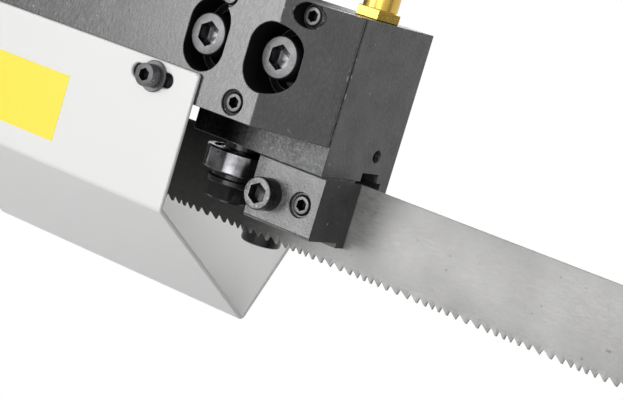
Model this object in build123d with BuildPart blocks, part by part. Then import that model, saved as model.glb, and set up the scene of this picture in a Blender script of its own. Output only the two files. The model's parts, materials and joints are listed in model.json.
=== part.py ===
"""Bench band saw for metal: a bow that swings on a bed, with two blade guide heads."""

from math import cos, sin, radians, sqrt
import os

from build123d import *

os.makedirs("parts", exist_ok=True)

# Blade and wheels
blade_w = 27.0
blade_t = 0.9
tooth_depth = 1.75
tooth_rake = 0.35
tooth_pitches = (2.4, 2.8, 3.2, 3.7, 3.9, 3.5, 3.0, 2.6)
wheel_r = 145.0
wheel_gap = 0.3
wheel_x = 392.0
lean = 30.0
toothed_left = -205.0
toothed_right = 180.0
twist_short = 20.0
twist_end = wheel_x - twist_short

# Bow casting
wall = 9.0
housing_gap = 33.0
disc_r = wheel_r + housing_gap
web_n0 = 21.0
web_n1 = 28.0
front_n = 38.0
rear_n = -24.0
beam_h = 118.5
relief_n = 30.5
relief_t = 50.0

# Bow swing
raise_deg = 20.0
hub_in = 65.0
hub_below = 7.0
pivot_x = wheel_x + disc_r - hub_in
pivot_drop = housing_gap + hub_below
hub_r = 26.0
pin_r = 14.0
pin_fit = 0.05
table_top = 150.0
cut_through = 3.0
pivot_z = table_top - cut_through - pivot_drop

# Guide head
head_x = -140.0
head_len = 50.0
arm_front = -41.2
arm_back = -23.3
arm_z0 = 36.7
arm_z1 = 75.6
arm_len = 300.0
arm_left = head_x - arm_len
arm_bevel = 17.0
block_rear = 13.7
block_z0 = 27.9
boss_rear = 20.0
jaw_len = 25.5
jaw_front = -20.1
jaw_z0 = 8.2
pad_front = -4.9
pad_gap = 0.3
pad_rear = 9.0
pad_below = 1.5
slot_x = (-41.2, -18.0)
slot_z = 57.6
slot_w = 15.0
slot_l = (22.0, 20.9)
slot_drop = (0.0, 0.55)
roller_r = 11.0
roller_h = 7.0
roller_x = -38.2
roller_z0 = 18.0
roller_y = blade_t / 2 + pad_gap + roller_r
bolt_r = 4.0
run_fit = 0.05
end_play = 0.3
screw_fit = 0.1
slide_gap = 0.35
lap = 1.0
head_extra = 0.5

# Sheet guard below the blade
sheet = 1.5
guard_in = 38.5
guard_out = 150.0
guard_right = head_x - guard_in
guard_left = head_x - guard_out
guard_top = 46.0
guard_fold = 3.5
guard_tip = (15.0, -30.8)
guard_lip = 52.0
guard_bolt_in = 54.5
guard_bolt_x = head_x - guard_bolt_in
guard_bolt_z = 40.8

# Bed
bed_x0 = -340.0
bed_past = 95.0
bed_x1 = pivot_x + bed_past
bed_y0 = -160.0
bed_y1 = 220.0
bed_top = 60.0
tray_z = 46.0
rim = 14.0
foot_dx = 880.0
foot_dy = 440.0
foot_hole_r = 6.5
vise_y0 = 58.0
vise_y1 = 200.0
vise_h = 92.0
screw_y = 128.0
screw_z = 105.0
screw_r = 8.0

bed_cx = (bed_x0 + bed_x1) / 2
bed_cy = (bed_y0 + bed_y1) / 2
blade_mid = blade_w / 2
tilt_t = (0.0, sin(radians(lean)), cos(radians(lean)))
tilt_n = (0.0, -cos(radians(lean)), sin(radians(lean)))
wheel_t = wheel_r + blade_t / 2
rim_r = wheel_r - wheel_gap
beam_t1 = wheel_t + disc_r
beam_t0 = beam_t1 - beam_h

at_bed = Location((-bed_cx, -bed_cy, 0))
at_bow = at_bed * Location((pivot_x, 0, pivot_z), (0, raise_deg, 0)) * Location((-pivot_x, 0, pivot_drop))
low = (Align.CENTER, Align.CENTER, Align.MIN)
front = (0, -1, 0)
rear = (0, 1, 0)
up = (0, 0, 1)
down = (0, 0, -1)
right = (1, 0, 0)
left = (-1, 0, 0)


def yz(t, n):
    """Height t and depth n in the leaning wheel plane, as bow y and z."""
    return (t * tilt_t[1] + n * tilt_n[1], blade_mid + t * tilt_t[2] + n * tilt_n[2])


def wheel_plane(n=0.0):
    """The leaning plane of the wheels, moved n towards the operator."""
    y, z = yz(0.0, n)
    return Plane(origin=(0, y, z), x_dir=right, z_dir=tilt_n)


def in_wheel(x, t, n):
    """A point given in the leaning plane."""
    y, z = yz(t, n)
    return (x, y, z)


def along(start, way, reach):
    """The point a distance from start along way."""
    return tuple(s + w * reach for s, w in zip(start, way))


def block(x0, x1, y0, y1, z0, z1, mode=Mode.ADD):
    """Box between two corners."""
    with Locations(((x0 + x1) / 2, (y0 + y1) / 2, (z0 + z1) / 2)):
        Box(x1 - x0, y1 - y0, z1 - z0, mode=mode)


def tilted(x0, x1, t0, t1, n0, n1, mode=Mode.ADD):
    """Box between two corners of the leaning plane."""
    centre = in_wheel((x0 + x1) / 2, (t0 + t1) / 2, (n0 + n1) / 2)
    with Locations(Plane(origin=centre, x_dir=right, z_dir=tilt_n)):
        Box(x1 - x0, t1 - t0, n1 - n0, mode=mode)


def rod(start, way, r, reach, mode=Mode.ADD):
    """Cylinder from start along way."""
    with Locations(Plane(origin=start, z_dir=way)):
        Cylinder(r, reach, align=low, mode=mode)


def hexagon(start, way, flats, reach, mode=Mode.ADD):
    """Hexagon prism from start along way."""
    with BuildSketch(Plane(origin=start, z_dir=way), mode=Mode.PRIVATE) as six:
        RegularPolygon(flats / 2, 6, major_radius=False)
    extrude(six.sketch, amount=reach, mode=mode)


def cap_screw(face, way, d, reach):
    """Socket cap screw from the face of its head; reach is the shank length."""
    rod(face, way, 0.75 * d + head_extra, d)
    rod(along(face, way, d), way, d / 2, reach)
    hexagon(face, way, 0.77 * d, 0.55 * d, Mode.SUBTRACT)


def set_screw(face, way, d, reach):
    """Socket set screw from its outer end."""
    rod(face, way, d / 2, reach)
    hexagon(face, way, 0.52 * d, 0.5 * d, Mode.SUBTRACT)


def save(piece, name, place):
    """Put the piece at its place in the machine and write it."""
    shape = piece.part.moved(place)
    shape.label = name
    export_step(shape, "parts/" + name + ".step")


# Guide arm with its adjusting slots
set_spots = ((-25.3, 41.4), (-37.5, 70.8), (-11.3, 72.0))
arm_m = 8.0
cap_x = (-42.1, -17.6)
cap_lift = 0.2
cap_recess = (1.8, 5.4)
cap_play = 2.2
set_m = 6.0
set_bore = 3.8
set_sink = 1.2
bevel_sink = 2.2
arm_nose = 1.0
arm_short = 0.4
guard_m = 4.0
guard_tap = 10.0
with BuildPart() as guide_arm:
    with BuildSketch(Plane.XY.offset(arm_z0)):
        with BuildLine():
            Polyline(
                (arm_left, arm_front),
                (head_x - arm_bevel, arm_front),
                (head_x - arm_short, arm_back - arm_nose),
                (head_x - arm_short, arm_back),
                (arm_left, arm_back),
                close=True,
            )
        make_face()
    extrude(amount=arm_z1 - arm_z0)
    for x, drop, length, recess in zip(slot_x, slot_drop, slot_l, cap_recess):
        slot_face = Plane(origin=(head_x + x, arm_front, slot_z - drop), x_dir=up, z_dir=front)
        with BuildSketch(slot_face):
            SlotOverall(length, slot_w)
        extrude(amount=-(recess + arm_m), mode=Mode.SUBTRACT)
        with BuildSketch(slot_face):
            SlotOverall(length - slot_w + arm_m + cap_play, arm_m + cap_play)
        extrude(amount=-(arm_back - arm_front), mode=Mode.SUBTRACT)
    for x, z in set_spots:
        rod((head_x + x, arm_front, z), rear, set_m / 2 + screw_fit, arm_back - arm_front, Mode.SUBTRACT)
    for x, z in set_spots[:2]:
        rod((head_x + x, arm_front, z), rear, set_bore, set_sink, Mode.SUBTRACT)
    bevel_y = arm_front + arm_bevel + set_spots[2][0]
    bevel_spot = (head_x + set_spots[2][0], arm_front, set_spots[2][1])
    rod(bevel_spot, rear, set_bore, bevel_y - arm_front + bevel_sink, Mode.SUBTRACT)
    rod((guard_bolt_x, arm_front, guard_bolt_z), rear, guard_m / 2 + screw_fit, guard_tap, Mode.SUBTRACT)
save(guide_arm, "guide_arm", at_bow)

# Guide block with the open blade slot and the leg behind the blade
fitting_x = -10.0
fitting_y = -4.0
jaw_bolt_x = -12.5
jaw_bolt_y = -12.5
jaw_bolt_m = 5.0
jaw_tap = 12.0
rear_boss_l = 23.0
rear_boss_h = 22.0
back_slot_y = (-2.2, 6.8)
back_slot_h = 2.7
port_y = 2.7
port_z = 36.1
port_r = 1.95
port_d = 12.0
arm_tap = 17.0
bolt_tap = 16.0
fitting_r = 4.5
coolant_d = 30.0
with BuildPart() as guide_block:
    block(head_x - head_len, head_x, arm_back, block_rear, block_z0, arm_z1)
    boss_x = (head_x - head_len, head_x - head_len + rear_boss_l)
    block(*boss_x, block_rear, boss_rear, block_z0, block_z0 + rear_boss_h)
    block(head_x - jaw_len, head_x, pad_rear, block_rear, jaw_z0, block_z0)
    block(head_x - head_len, head_x, *back_slot_y, block_z0, block_z0 + back_slot_h, Mode.SUBTRACT)
    rod((head_x, port_y, port_z), left, port_r, port_d, Mode.SUBTRACT)
    for x in cap_x:
        rod((head_x + x, arm_back, slot_z + cap_lift), rear, arm_m / 2 + screw_fit, arm_tap, Mode.SUBTRACT)
    for y in (-roller_y, roller_y):
        rod((head_x + roller_x, y, block_z0), up, bolt_r + screw_fit, bolt_tap, Mode.SUBTRACT)
    rod((head_x + jaw_bolt_x, jaw_bolt_y, block_z0), up, jaw_bolt_m / 2 + screw_fit, jaw_tap, Mode.SUBTRACT)
    rod((head_x + fitting_x, fitting_y, arm_z1), down, fitting_r + screw_fit, coolant_d, Mode.SUBTRACT)
save(guide_block, "guide_block", at_bow)

# Front jaw that holds the front pad
jaw_m = 6.0
jaw_cap = (-18.4, 16.9)
jaw_set = (-6.5, 17.4)
jaw_break = 0.7
jaw_bolt_sink = 5.1
jaw_deep = 20.0
jaw_tall = 30.0
with BuildPart() as front_jaw:
    block(head_x - jaw_len, head_x, jaw_front, pad_front, jaw_z0, block_z0)
    chamfer(front_jaw.edges().filter_by(Axis.X).group_by(Axis.Y)[0], jaw_break)
    rod((head_x + jaw_cap[0], jaw_front, jaw_cap[1]), rear, jaw_m / 2 + screw_fit, jaw_deep, Mode.SUBTRACT)
    rod((head_x + jaw_set[0], jaw_front, jaw_set[1]), rear, jaw_m / 2 + screw_fit, jaw_deep, Mode.SUBTRACT)
    rod((head_x + jaw_set[0], jaw_front, jaw_set[1]), rear, set_bore, set_sink, Mode.SUBTRACT)
    sunk_r = 0.75 * jaw_bolt_m + head_extra + screw_fit
    rod((head_x + jaw_bolt_x, jaw_bolt_y, jaw_z0), up, sunk_r, jaw_bolt_sink, Mode.SUBTRACT)
    rod((head_x + jaw_bolt_x, jaw_bolt_y, jaw_z0), up, jaw_bolt_m / 2 + screw_fit, jaw_tall, Mode.SUBTRACT)
save(front_jaw, "front_jaw", at_bow)

# Hard pads on both faces and on the back edge of the blade
face_gap = blade_t / 2 + pad_gap
pad_len = 24.0
pad_top = 0.9
rear_pad_in = 0.5
rear_pad_z = (1.0, 4.0)
back_pad_in = 4.0
back_pad_y1 = 3.4
with BuildPart() as carbide_pads:
    block(head_x - pad_len, head_x, pad_front, -face_gap, jaw_z0 - pad_below, block_z0 - pad_top)
    rear_pad_x = (head_x - pad_len, head_x - rear_pad_in)
    block(*rear_pad_x, face_gap, pad_rear, jaw_z0 + rear_pad_z[0], block_z0 - rear_pad_z[1])
    back_pad_x = (head_x - pad_len, head_x - back_pad_in)
    block(*back_pad_x, back_slot_y[0], back_pad_y1, blade_w + pad_gap, block_z0 + back_slot_h)
save(carbide_pads, "carbide_pads", at_bow)

# Screws of the guide head
arm_grip = 15.0
set_sunk = 0.7
bevel_sunk = 0.9
jaw_bolt_l = 25.0
with BuildPart() as arm_screws:
    for x, recess in zip(cap_x, cap_recess):
        face = (head_x + x, arm_front + recess, slot_z + cap_lift)
        cap_screw(face, rear, arm_m, arm_back - arm_front - recess - arm_m + arm_grip)
save(arm_screws, "arm_screws", at_bow)

with BuildPart() as set_screws:
    for x, z in set_spots[:2]:
        set_screw((head_x + x, arm_front + set_sunk, z), rear, set_m, arm_back - arm_front - set_sunk)
    bevel_end = (head_x + set_spots[2][0], bevel_y + bevel_sunk, set_spots[2][1])
    set_screw(bevel_end, rear, set_m, arm_back - bevel_y - bevel_sunk)
    jaw_end = (head_x + jaw_set[0], jaw_front + set_sunk, jaw_set[1])
    set_screw(jaw_end, rear, jaw_m, pad_front - jaw_front - set_sunk)
save(set_screws, "set_screws", at_bow)

with BuildPart() as jaw_screws:
    cap_screw((head_x + jaw_cap[0], jaw_front - jaw_m, jaw_cap[1]), rear, jaw_m, pad_front - jaw_front)
    cap_screw((head_x + jaw_bolt_x, jaw_bolt_y, jaw_z0 + screw_fit), up, jaw_bolt_m, jaw_bolt_l)
save(jaw_screws, "jaw_screws", at_bow)

# Side rollers and the bolts they turn on
groove = 0.6
roller_break = 0.5
shield_r = (9.0, 6.2)
with BuildPart() as roller_front:
    rod((head_x + roller_x, -roller_y, roller_z0), up, roller_r, roller_h)
    chamfer(roller_front.edges().filter_by(GeomType.CIRCLE), roller_break)
    rod((head_x + roller_x, -roller_y, roller_z0), up, bolt_r + run_fit, roller_h, Mode.SUBTRACT)
    for z in (roller_z0, roller_z0 + roller_h - groove):
        with BuildSketch(Plane.XY.offset(z)):
            with Locations((head_x + roller_x, -roller_y)):
                Circle(shield_r[0])
                Circle(shield_r[1], mode=Mode.SUBTRACT)
        extrude(amount=groove, mode=Mode.SUBTRACT)
save(roller_front, "roller_front", at_bow)

with BuildPart() as roller_rear:
    mirror(roller_front.part, about=Plane.XZ)
save(roller_rear, "roller_rear", at_bow)

washer_z0 = 14.3
rear_head_z = -4.2
rear_head_r = 6.6
rear_hex = (6.0, 4.0)
bolt_grip = 15.0
collar_r = 6.0
washer_r = (8.6, 7.6)
washer_t = 1.8
roller_nut = (13.0, 5.3)
with BuildPart() as roller_bolts:
    for y in (-roller_y, roller_y):
        rod((head_x + roller_x, y, washer_z0), up, bolt_r, block_z0 + bolt_grip - washer_z0)
        collar_z = roller_z0 + roller_h + end_play
        rod((head_x + roller_x, y, collar_z), up, collar_r, block_z0 - collar_z)
        upper_z = washer_z0 + washer_t
        rod((head_x + roller_x, y, upper_z), up, washer_r[1], roller_z0 - end_play - upper_z)
        rod((head_x + roller_x, y, washer_z0), up, washer_r[0], washer_t)
    hexagon((head_x + roller_x, -roller_y, washer_z0), down, *roller_nut)
    rod((head_x + roller_x, roller_y, washer_z0), down, rear_head_r, washer_z0 - rear_head_z)
    hexagon((head_x + roller_x, roller_y, rear_head_z), up, *rear_hex, Mode.SUBTRACT)
save(roller_bolts, "roller_bolts", at_bow)


def inset(points, d):
    """The same open path moved d to its left, with mitred corners."""
    sides = []
    for a, b in zip(points, points[1:]):
        s = sqrt((b[0] - a[0]) ** 2 + (b[1] - a[1]) ** 2)
        ux, uy = (b[0] - a[0]) / s, (b[1] - a[1]) / s
        sides.append((a[0] - uy * d, a[1] + ux * d, ux, uy))
    last = points[-1]
    moved = [(sides[0][0], sides[0][1])]
    for p, q in zip(sides, sides[1:]):
        k = ((q[0] - p[0]) * q[3] - (q[1] - p[1]) * q[2]) / (p[2] * q[3] - p[3] * q[2])
        moved.append((p[0] + p[2] * k, p[1] + p[3] * k))
    end = sides[-1]
    moved.append((last[0] - end[3] * d, last[1] + end[2] * d))
    return moved


# Folded sheet guard under the blade
bend_out = 2.2
guard_corner = 1.0
guard_slot = (16.4, 4.6)
guard_slot_in = 1.0
guard_washer = (4.8, 1.0)
guard_front = arm_front - sheet
guard_path = [
    (guard_front, guard_top),
    (guard_front, guard_fold),
    guard_tip,
    (guard_tip[0] + guard_lip * tilt_t[1], guard_tip[1] + guard_lip * tilt_t[2]),
]
guard_inner = inset(guard_path, sheet)
with BuildPart() as blade_guard:
    with BuildSketch(Plane(origin=(guard_left, 0, 0), x_dir=rear, z_dir=right)):
        with BuildLine():
            FilletPolyline(*guard_path, radius=bend_out)
            FilletPolyline(*guard_inner, radius=bend_out - sheet)
            Line(guard_path[0], guard_inner[0])
            Line(guard_path[-1], guard_inner[-1])
        make_face()
    extrude(amount=guard_right - guard_left)
    fillet(blade_guard.edges().filter_by(Axis.Y).group_by(Axis.Z)[-1], guard_corner)
    guard_slot_at = (guard_bolt_x - guard_slot_in, guard_front, guard_bolt_z)
    with BuildSketch(Plane(origin=guard_slot_at, x_dir=right, z_dir=front)):
        SlotOverall(*guard_slot)
    extrude(amount=-sheet, mode=Mode.SUBTRACT)
save(blade_guard, "blade_guard", at_bow)

with BuildPart() as guard_screw:
    rod((guard_bolt_x, guard_front, guard_bolt_z), front, *guard_washer)
    guard_head = guard_front - guard_washer[1] - guard_m
    cap_screw((guard_bolt_x, guard_head, guard_bolt_z), rear, guard_m, guard_tap)
save(guard_screw, "guard_screw", at_bow)

# Brass coolant fitting on top of the block
nut_h = 3.3
nut_flats = 13.0
neck_r = 5.4
neck_top = 14.5
small_flats = 11.0
small_h = 6.0
tube_r = 3.4
tube_len = 20.0
tube_bore = 1.8
tube_bore_z = 8.5
barb_r = 4.5
barb_len = 4.0
barb_lifts = (24.0, 29.0, 34.0)
fitting_deep = 8.0
with BuildPart() as coolant_fitting:
    base = (head_x + fitting_x, fitting_y, arm_z1)
    rod(base, down, fitting_r, fitting_deep)
    hexagon(base, up, nut_flats, nut_h)
    rod(along(base, up, nut_h), up, neck_r, neck_top - nut_h)
    hexagon(along(base, up, neck_top), up, small_flats, small_h)
    rod(along(base, up, neck_top + small_h), up, tube_r, tube_len)
    for lift in barb_lifts:
        with Locations((base[0], base[1], base[2] + lift)):
            Cone(barb_r, tube_r, barb_len, align=low)
    rod(along(base, up, tube_bore_z), up, tube_bore, 2 * tube_len, Mode.SUBTRACT)
save(coolant_fitting, "coolant_fitting", at_bow)

# Fixed guide head at the driven side, the mirror image
mirror_x = -10.0
head_mirror = Plane.YZ.offset(mirror_x)
right_jaw_sources = (arm_screws, set_screws, jaw_screws)
with BuildPart() as right_arm:
    mirror(guide_arm.part, about=head_mirror)
save(right_arm, "right_arm", at_bow)
with BuildPart() as right_block:
    mirror(guide_block.part, about=head_mirror)
save(right_block, "right_block", at_bow)
with BuildPart() as right_jaw:
    mirror(front_jaw.part, about=head_mirror)
save(right_jaw, "right_jaw", at_bow)
with BuildPart() as right_pads:
    mirror(carbide_pads.part, about=head_mirror)
save(right_pads, "right_pads", at_bow)
with BuildPart() as right_screws:
    for source in right_jaw_sources:
        mirror(source.part, about=head_mirror)
save(right_screws, "right_screws", at_bow)
with BuildPart() as right_roller_front:
    mirror(roller_front.part, about=head_mirror)
save(right_roller_front, "right_roller_front", at_bow)
with BuildPart() as right_roller_rear:
    mirror(roller_rear.part, about=head_mirror)
save(right_roller_rear, "right_roller_rear", at_bow)
with BuildPart() as right_roller_bolts:
    mirror(roller_bolts.part, about=head_mirror)
save(right_roller_bolts, "right_roller_bolts", at_bow)
with BuildPart() as right_fitting:
    mirror(coolant_fitting.part, about=head_mirror)
save(right_fitting, "right_fitting", at_bow)


def tooth_line(x0, x1):
    """Edge of the blade from x1 back to x0 with raked teeth at varying pitch."""
    points = [(x0, 0.0)]
    x = x0 + 1.0
    count = 0
    while True:
        pitch = tooth_pitches[count % len(tooth_pitches)]
        if x + pitch > x1 - 1.0:
            break
        points.append((x, 0.0))
        points.append((x + tooth_rake, tooth_depth * 0.9))
        points.append((x + tooth_rake + 0.28 * pitch, tooth_depth))
        points.append((x + 0.9 * pitch, 0.12))
        x += pitch
        count += 1
    points.append((x, 0.0))
    points.append((x1, 0.0))
    return points


def twisted(x, turn):
    """Section of the blade at x, turned about its own middle."""
    c, s = cos(radians(turn)), sin(radians(turn))
    return Plane(origin=(x, 0, blade_mid), x_dir=(0, c, s), z_dir=right)


# Endless blade: toothed cut span, two twisted spans and the loop round the wheels
twist_steps = 4
twist_deg = 90.0 - lean
with BuildPart() as blade:
    with BuildSketch(Plane.XZ):
        with BuildLine():
            Polyline(
                *tooth_line(toothed_left, toothed_right),
                (toothed_right, blade_w),
                (toothed_left, blade_w),
                close=True,
            )
        make_face()
    extrude(amount=blade_t / 2, both=True)
    with BuildSketch(wheel_plane()):
        with Locations((0, wheel_t)):
            SlotCenterToCenter(2 * wheel_x, 2 * (wheel_r + blade_t))
            SlotCenterToCenter(2 * wheel_x, 2 * wheel_r, mode=Mode.SUBTRACT)
        Rectangle(2 * twist_end, 20.0, mode=Mode.SUBTRACT)
    extrude(amount=blade_w / 2, both=True)
    for start, end in ((toothed_left, -twist_end), (toothed_right, twist_end)):
        for step in range(twist_steps):
            x0 = start + (end - start) * step / twist_steps
            x1 = start + (end - start) * (step + 1) / twist_steps
            with BuildSketch(twisted(x0, twist_deg * step / twist_steps)) as near_end:
                Rectangle(blade_t, blade_w)
            with BuildSketch(twisted(x1, twist_deg * (step + 1) / twist_steps)) as far_end:
                Rectangle(blade_t, blade_w)
            loft(ruled=True)
save(blade, "blade", at_bow)

# Bow casting: two wheel housings joined by a beam
axle_r = 12.5
shaft_r = 15.0
window_x = (-26.0, 40.0)
window_t = 20.0
carriage_t = 32.0
carriage_gap = 0.4
carriage_top = 64.0
carriage_n = (front_n + carriage_gap, carriage_top)
rail_t = 44.0
rail_out = 66.0
rail_in = 84.0
rail_x = (-wheel_x - rail_out, -wheel_x + rail_in)
beam_mid = (beam_t0 + beam_t1) / 2
pocket_w = 136.0
pocket_edge = 20.0
pocket_d = 6.0
rib_w = 10.0
pocket_gap = 29.0
mouth_step = 4.0
shaft_clear = 4.0
mouth_x = (205.0, 340.0, 462.0)
mouth_t = -60.0
with BuildPart() as bow_casting:
    with BuildSketch(wheel_plane(rear_n)) as outline:
        with Locations((-wheel_x, wheel_t), (wheel_x, wheel_t)):
            Circle(disc_r)
        with Locations((0, beam_mid)):
            Rectangle(2 * wheel_x, beam_h)
    extrude(amount=front_n - rear_n)
    with BuildSketch(wheel_plane(rear_n)):
        with Locations((-wheel_x, wheel_t), (wheel_x, wheel_t)):
            Circle(disc_r - wall)
        with Locations((0, beam_mid)):
            Rectangle(2 * wheel_x, beam_h - 2 * wall)
    extrude(amount=web_n0 - rear_n, mode=Mode.SUBTRACT)
    with BuildSketch(wheel_plane(web_n0)):
        with Locations((-wheel_x, wheel_t), (wheel_x, wheel_t)):
            Circle(disc_r - wall)
        with Locations((0, beam_mid)):
            Rectangle(2 * wheel_x, beam_h - 2 * wall)
        with Locations((0, relief_t - disc_r)):
            Rectangle(4 * wheel_x, 2 * disc_r, mode=Mode.SUBTRACT)
    extrude(amount=web_n1 - web_n0, mode=Mode.SUBTRACT)
    for side in (-1, 1):
        x0, x1 = sorted((side * mouth_x[2], side * mouth_x[0]))
        tilted(x0, x1, mouth_t, relief_t, relief_n, front_n + wall, Mode.SUBTRACT)
        x0, x1 = sorted((side * mouth_x[1], side * mouth_x[0]))
        tilted(x0, x1, mouth_t, relief_t - mouth_step, rear_n - wall, web_n0, Mode.SUBTRACT)
    for step in (-1, 0, 1):
        x0 = step * (pocket_w + pocket_gap) - pocket_w / 2
        pocket_n = front_n - pocket_d
        pocket_t = (beam_t0 + pocket_edge, beam_t1 - pocket_edge)
        tilted(x0, x0 + pocket_w, *pocket_t, pocket_n, front_n + wall, Mode.SUBTRACT)
        tilted(x0, x0 + pocket_w, beam_mid - rib_w / 2, beam_mid + rib_w / 2, pocket_n, front_n)
    tilted(
        -wheel_x + window_x[0], -wheel_x + window_x[1],
        wheel_t - window_t, wheel_t + window_t, web_n0 - wall, front_n + wall, Mode.SUBTRACT,
    )
    rod(in_wheel(wheel_x, wheel_t, 0), tilt_n, shaft_r + shaft_clear, front_n + wall, Mode.SUBTRACT)
save(bow_casting, "bow_casting", at_bow)

# Gib rails that hold the tension carriage on the idler housing
lip_n = carriage_n[1] + slide_gap
lip_t = 8.0
with BuildPart() as tension_rails:
    for side in (-1, 1):
        t0, t1 = sorted((wheel_t + side * (carriage_t + slide_gap), wheel_t + side * rail_t))
        tilted(*rail_x, t0, t1, front_n, lip_n)
        t0, t1 = sorted((wheel_t + side * (carriage_t - lip_t), wheel_t + side * rail_t))
        tilted(*rail_x, t0, t1, lip_n, lip_n + wall)
save(tension_rails, "tension_rails", at_bow)

# Sheet cover behind the wheels
cover_t = 2.0
cover_n = rear_n - cover_t
cover_in = 1.0
cover_mouth = (272.5, -7.0)
cover_mouth_w = 135.0
cover_mouth_h = 106.0
dish_r = 118.0
dish_l = 420.0
dish_h = 70.0
dish_round = 20.0
dish_d = 4.0
dish_wall = 3.0
dish_slope = 20
with BuildPart() as wheel_cover:
    with BuildSketch(wheel_plane(cover_n)):
        with Locations((-wheel_x, wheel_t), (wheel_x, wheel_t)):
            Circle(disc_r - cover_in)
        with Locations((0, beam_mid)):
            Rectangle(2 * wheel_x, beam_h - 2 * cover_in)
        for side in (-1, 1):
            with Locations((side * cover_mouth[0], cover_mouth[1])):
                Rectangle(cover_mouth_w, cover_mouth_h, mode=Mode.SUBTRACT)
    extrude(amount=rear_n - cover_n)
    with BuildSketch(wheel_plane(cover_n)):
        with Locations((-wheel_x, wheel_t), (wheel_x, wheel_t)):
            Circle(dish_r)
        with Locations((0, beam_mid)):
            RectangleRounded(dish_l, dish_h, dish_round)
    extrude(amount=-dish_d, taper=dish_slope)
    with BuildSketch(wheel_plane(rear_n)):
        with Locations((-wheel_x, wheel_t), (wheel_x, wheel_t)):
            Circle(dish_r - dish_wall)
        with Locations((0, beam_mid)):
            RectangleRounded(dish_l - 2 * dish_wall, dish_h - 2 * dish_wall, dish_round - dish_wall)
    extrude(amount=-dish_d, taper=dish_slope, mode=Mode.SUBTRACT)
save(wheel_cover, "wheel_cover", at_bow)

cover_screw_in = 4.5
cover_screw = (5.0, 3.0)
cover_hex = (4.0, 2.2)
cover_ring = disc_r - cover_screw_in
cover_spots = [
    (sx * (wheel_x + cover_ring * cos(radians(a))), wheel_t + cover_ring * sin(radians(a)))
    for sx in (-1, 1) for a in (-30, 5, 45, 80)
]
with BuildPart() as cover_screws:
    for x, t in cover_spots:
        rod(in_wheel(x, t, cover_n), tuple(-v for v in tilt_n), *cover_screw)
        hexagon(in_wheel(x, t, cover_n - cover_screw[1]), tilt_n, *cover_hex, Mode.SUBTRACT)
save(cover_screws, "cover_screws", at_bow)

# Pivot arm under the driven housing
hub_y = (-50.0, 30.0)
stay_x = 405.0
stay_top = 40.0
clear_x = (300.0, 620.0)
clear_t = (-80.0, 60.0)
clear_n = 120.0
rear_clear = 4.0
with BuildPart() as pivot_arm:
    block(stay_x, pivot_x, hub_y[0], hub_y[1], -pivot_drop, stay_top)
    block(pivot_x - lap, pivot_x + hub_r, hub_y[0], hub_y[1], -pivot_drop, stay_top)
    rod((pivot_x, hub_y[0], -pivot_drop), rear, hub_r, hub_y[1] - hub_y[0])
    rod(in_wheel(wheel_x, wheel_t, -clear_n), tilt_n, disc_r, 2 * clear_n, Mode.SUBTRACT)
    tilted(*clear_x, *clear_t, -clear_n, rear_n - rear_clear, Mode.SUBTRACT)
    rod((pivot_x, hub_y[0], -pivot_drop), rear, pin_r + pin_fit, 2 * clear_n, Mode.SUBTRACT)
save(pivot_arm, "pivot_arm", at_bow)

# Wheels
flange_gap = 0.4
flange_n = blade_mid + flange_gap
flange_h = 4.5
rim_wall = 14.0
rim_rear = -11.0
web_n = (-4.0, 5.0)
hub_n = (-13.5, 19.5)
spoke_holes = 6
spoke_r = 84.0
spoke_hole_r = 25.0
wheel_cut = 20.0


def wheel_half(bore, hub):
    """Half section of a wheel, radius against depth."""
    return (
        (bore, hub_n[0]), (hub, hub_n[0]), (hub, web_n[0]), (rim_r - rim_wall, web_n[0]),
        (rim_r - rim_wall, rim_rear), (rim_r, rim_rear), (rim_r, flange_n), (rim_r + flange_h, flange_n),
        (rim_r + flange_h, flange_n + flange_h), (rim_r - rim_wall, flange_n + flange_h),
        (rim_r - rim_wall, web_n[1]), (hub, web_n[1]), (hub, hub_n[1]), (bore, hub_n[1]),
    )


def wheel_section(x):
    """Plane through the wheel axis: radius along x, depth along the axis."""
    return Plane(origin=in_wheel(x, wheel_t, 0), x_dir=right, z_dir=tuple(-v for v in tilt_t))


wheel_hub = 34.0
with BuildPart() as idler_wheel:
    with BuildSketch(wheel_section(-wheel_x)):
        with BuildLine():
            Polyline(*wheel_half(axle_r + run_fit, wheel_hub), close=True)
        make_face()
    revolve(axis=Axis(in_wheel(-wheel_x, wheel_t, 0), tilt_n))
    with BuildSketch(wheel_plane(-wheel_cut)):
        with Locations((-wheel_x, wheel_t)):
            with PolarLocations(spoke_r, spoke_holes):
                Circle(spoke_hole_r)
    extrude(amount=3 * wheel_cut, mode=Mode.SUBTRACT)
save(idler_wheel, "idler_wheel", at_bow)

gear_n1 = 148.0
shaft_top = 100.0
core_r = 6.0
shaft_nose = 17.0
nose_r = 8.0
nose_len = 20.0
with BuildPart() as drive_wheel:
    with BuildSketch(wheel_section(wheel_x)):
        with BuildLine():
            Polyline(*wheel_half(core_r, wheel_hub), close=True)
        make_face()
    revolve(axis=Axis(in_wheel(wheel_x, wheel_t, 0), tilt_n))
    with BuildSketch(wheel_plane(-wheel_cut)):
        with Locations((wheel_x, wheel_t)):
            with PolarLocations(spoke_r, spoke_holes):
                Circle(spoke_hole_r)
    extrude(amount=3 * wheel_cut, mode=Mode.SUBTRACT)
    rod(in_wheel(wheel_x, wheel_t, -shaft_nose), tilt_n, nose_r, nose_len)
    rod(in_wheel(wheel_x, wheel_t, 0), tilt_n, shaft_r, shaft_top)
save(drive_wheel, "drive_wheel", at_bow)

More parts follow.
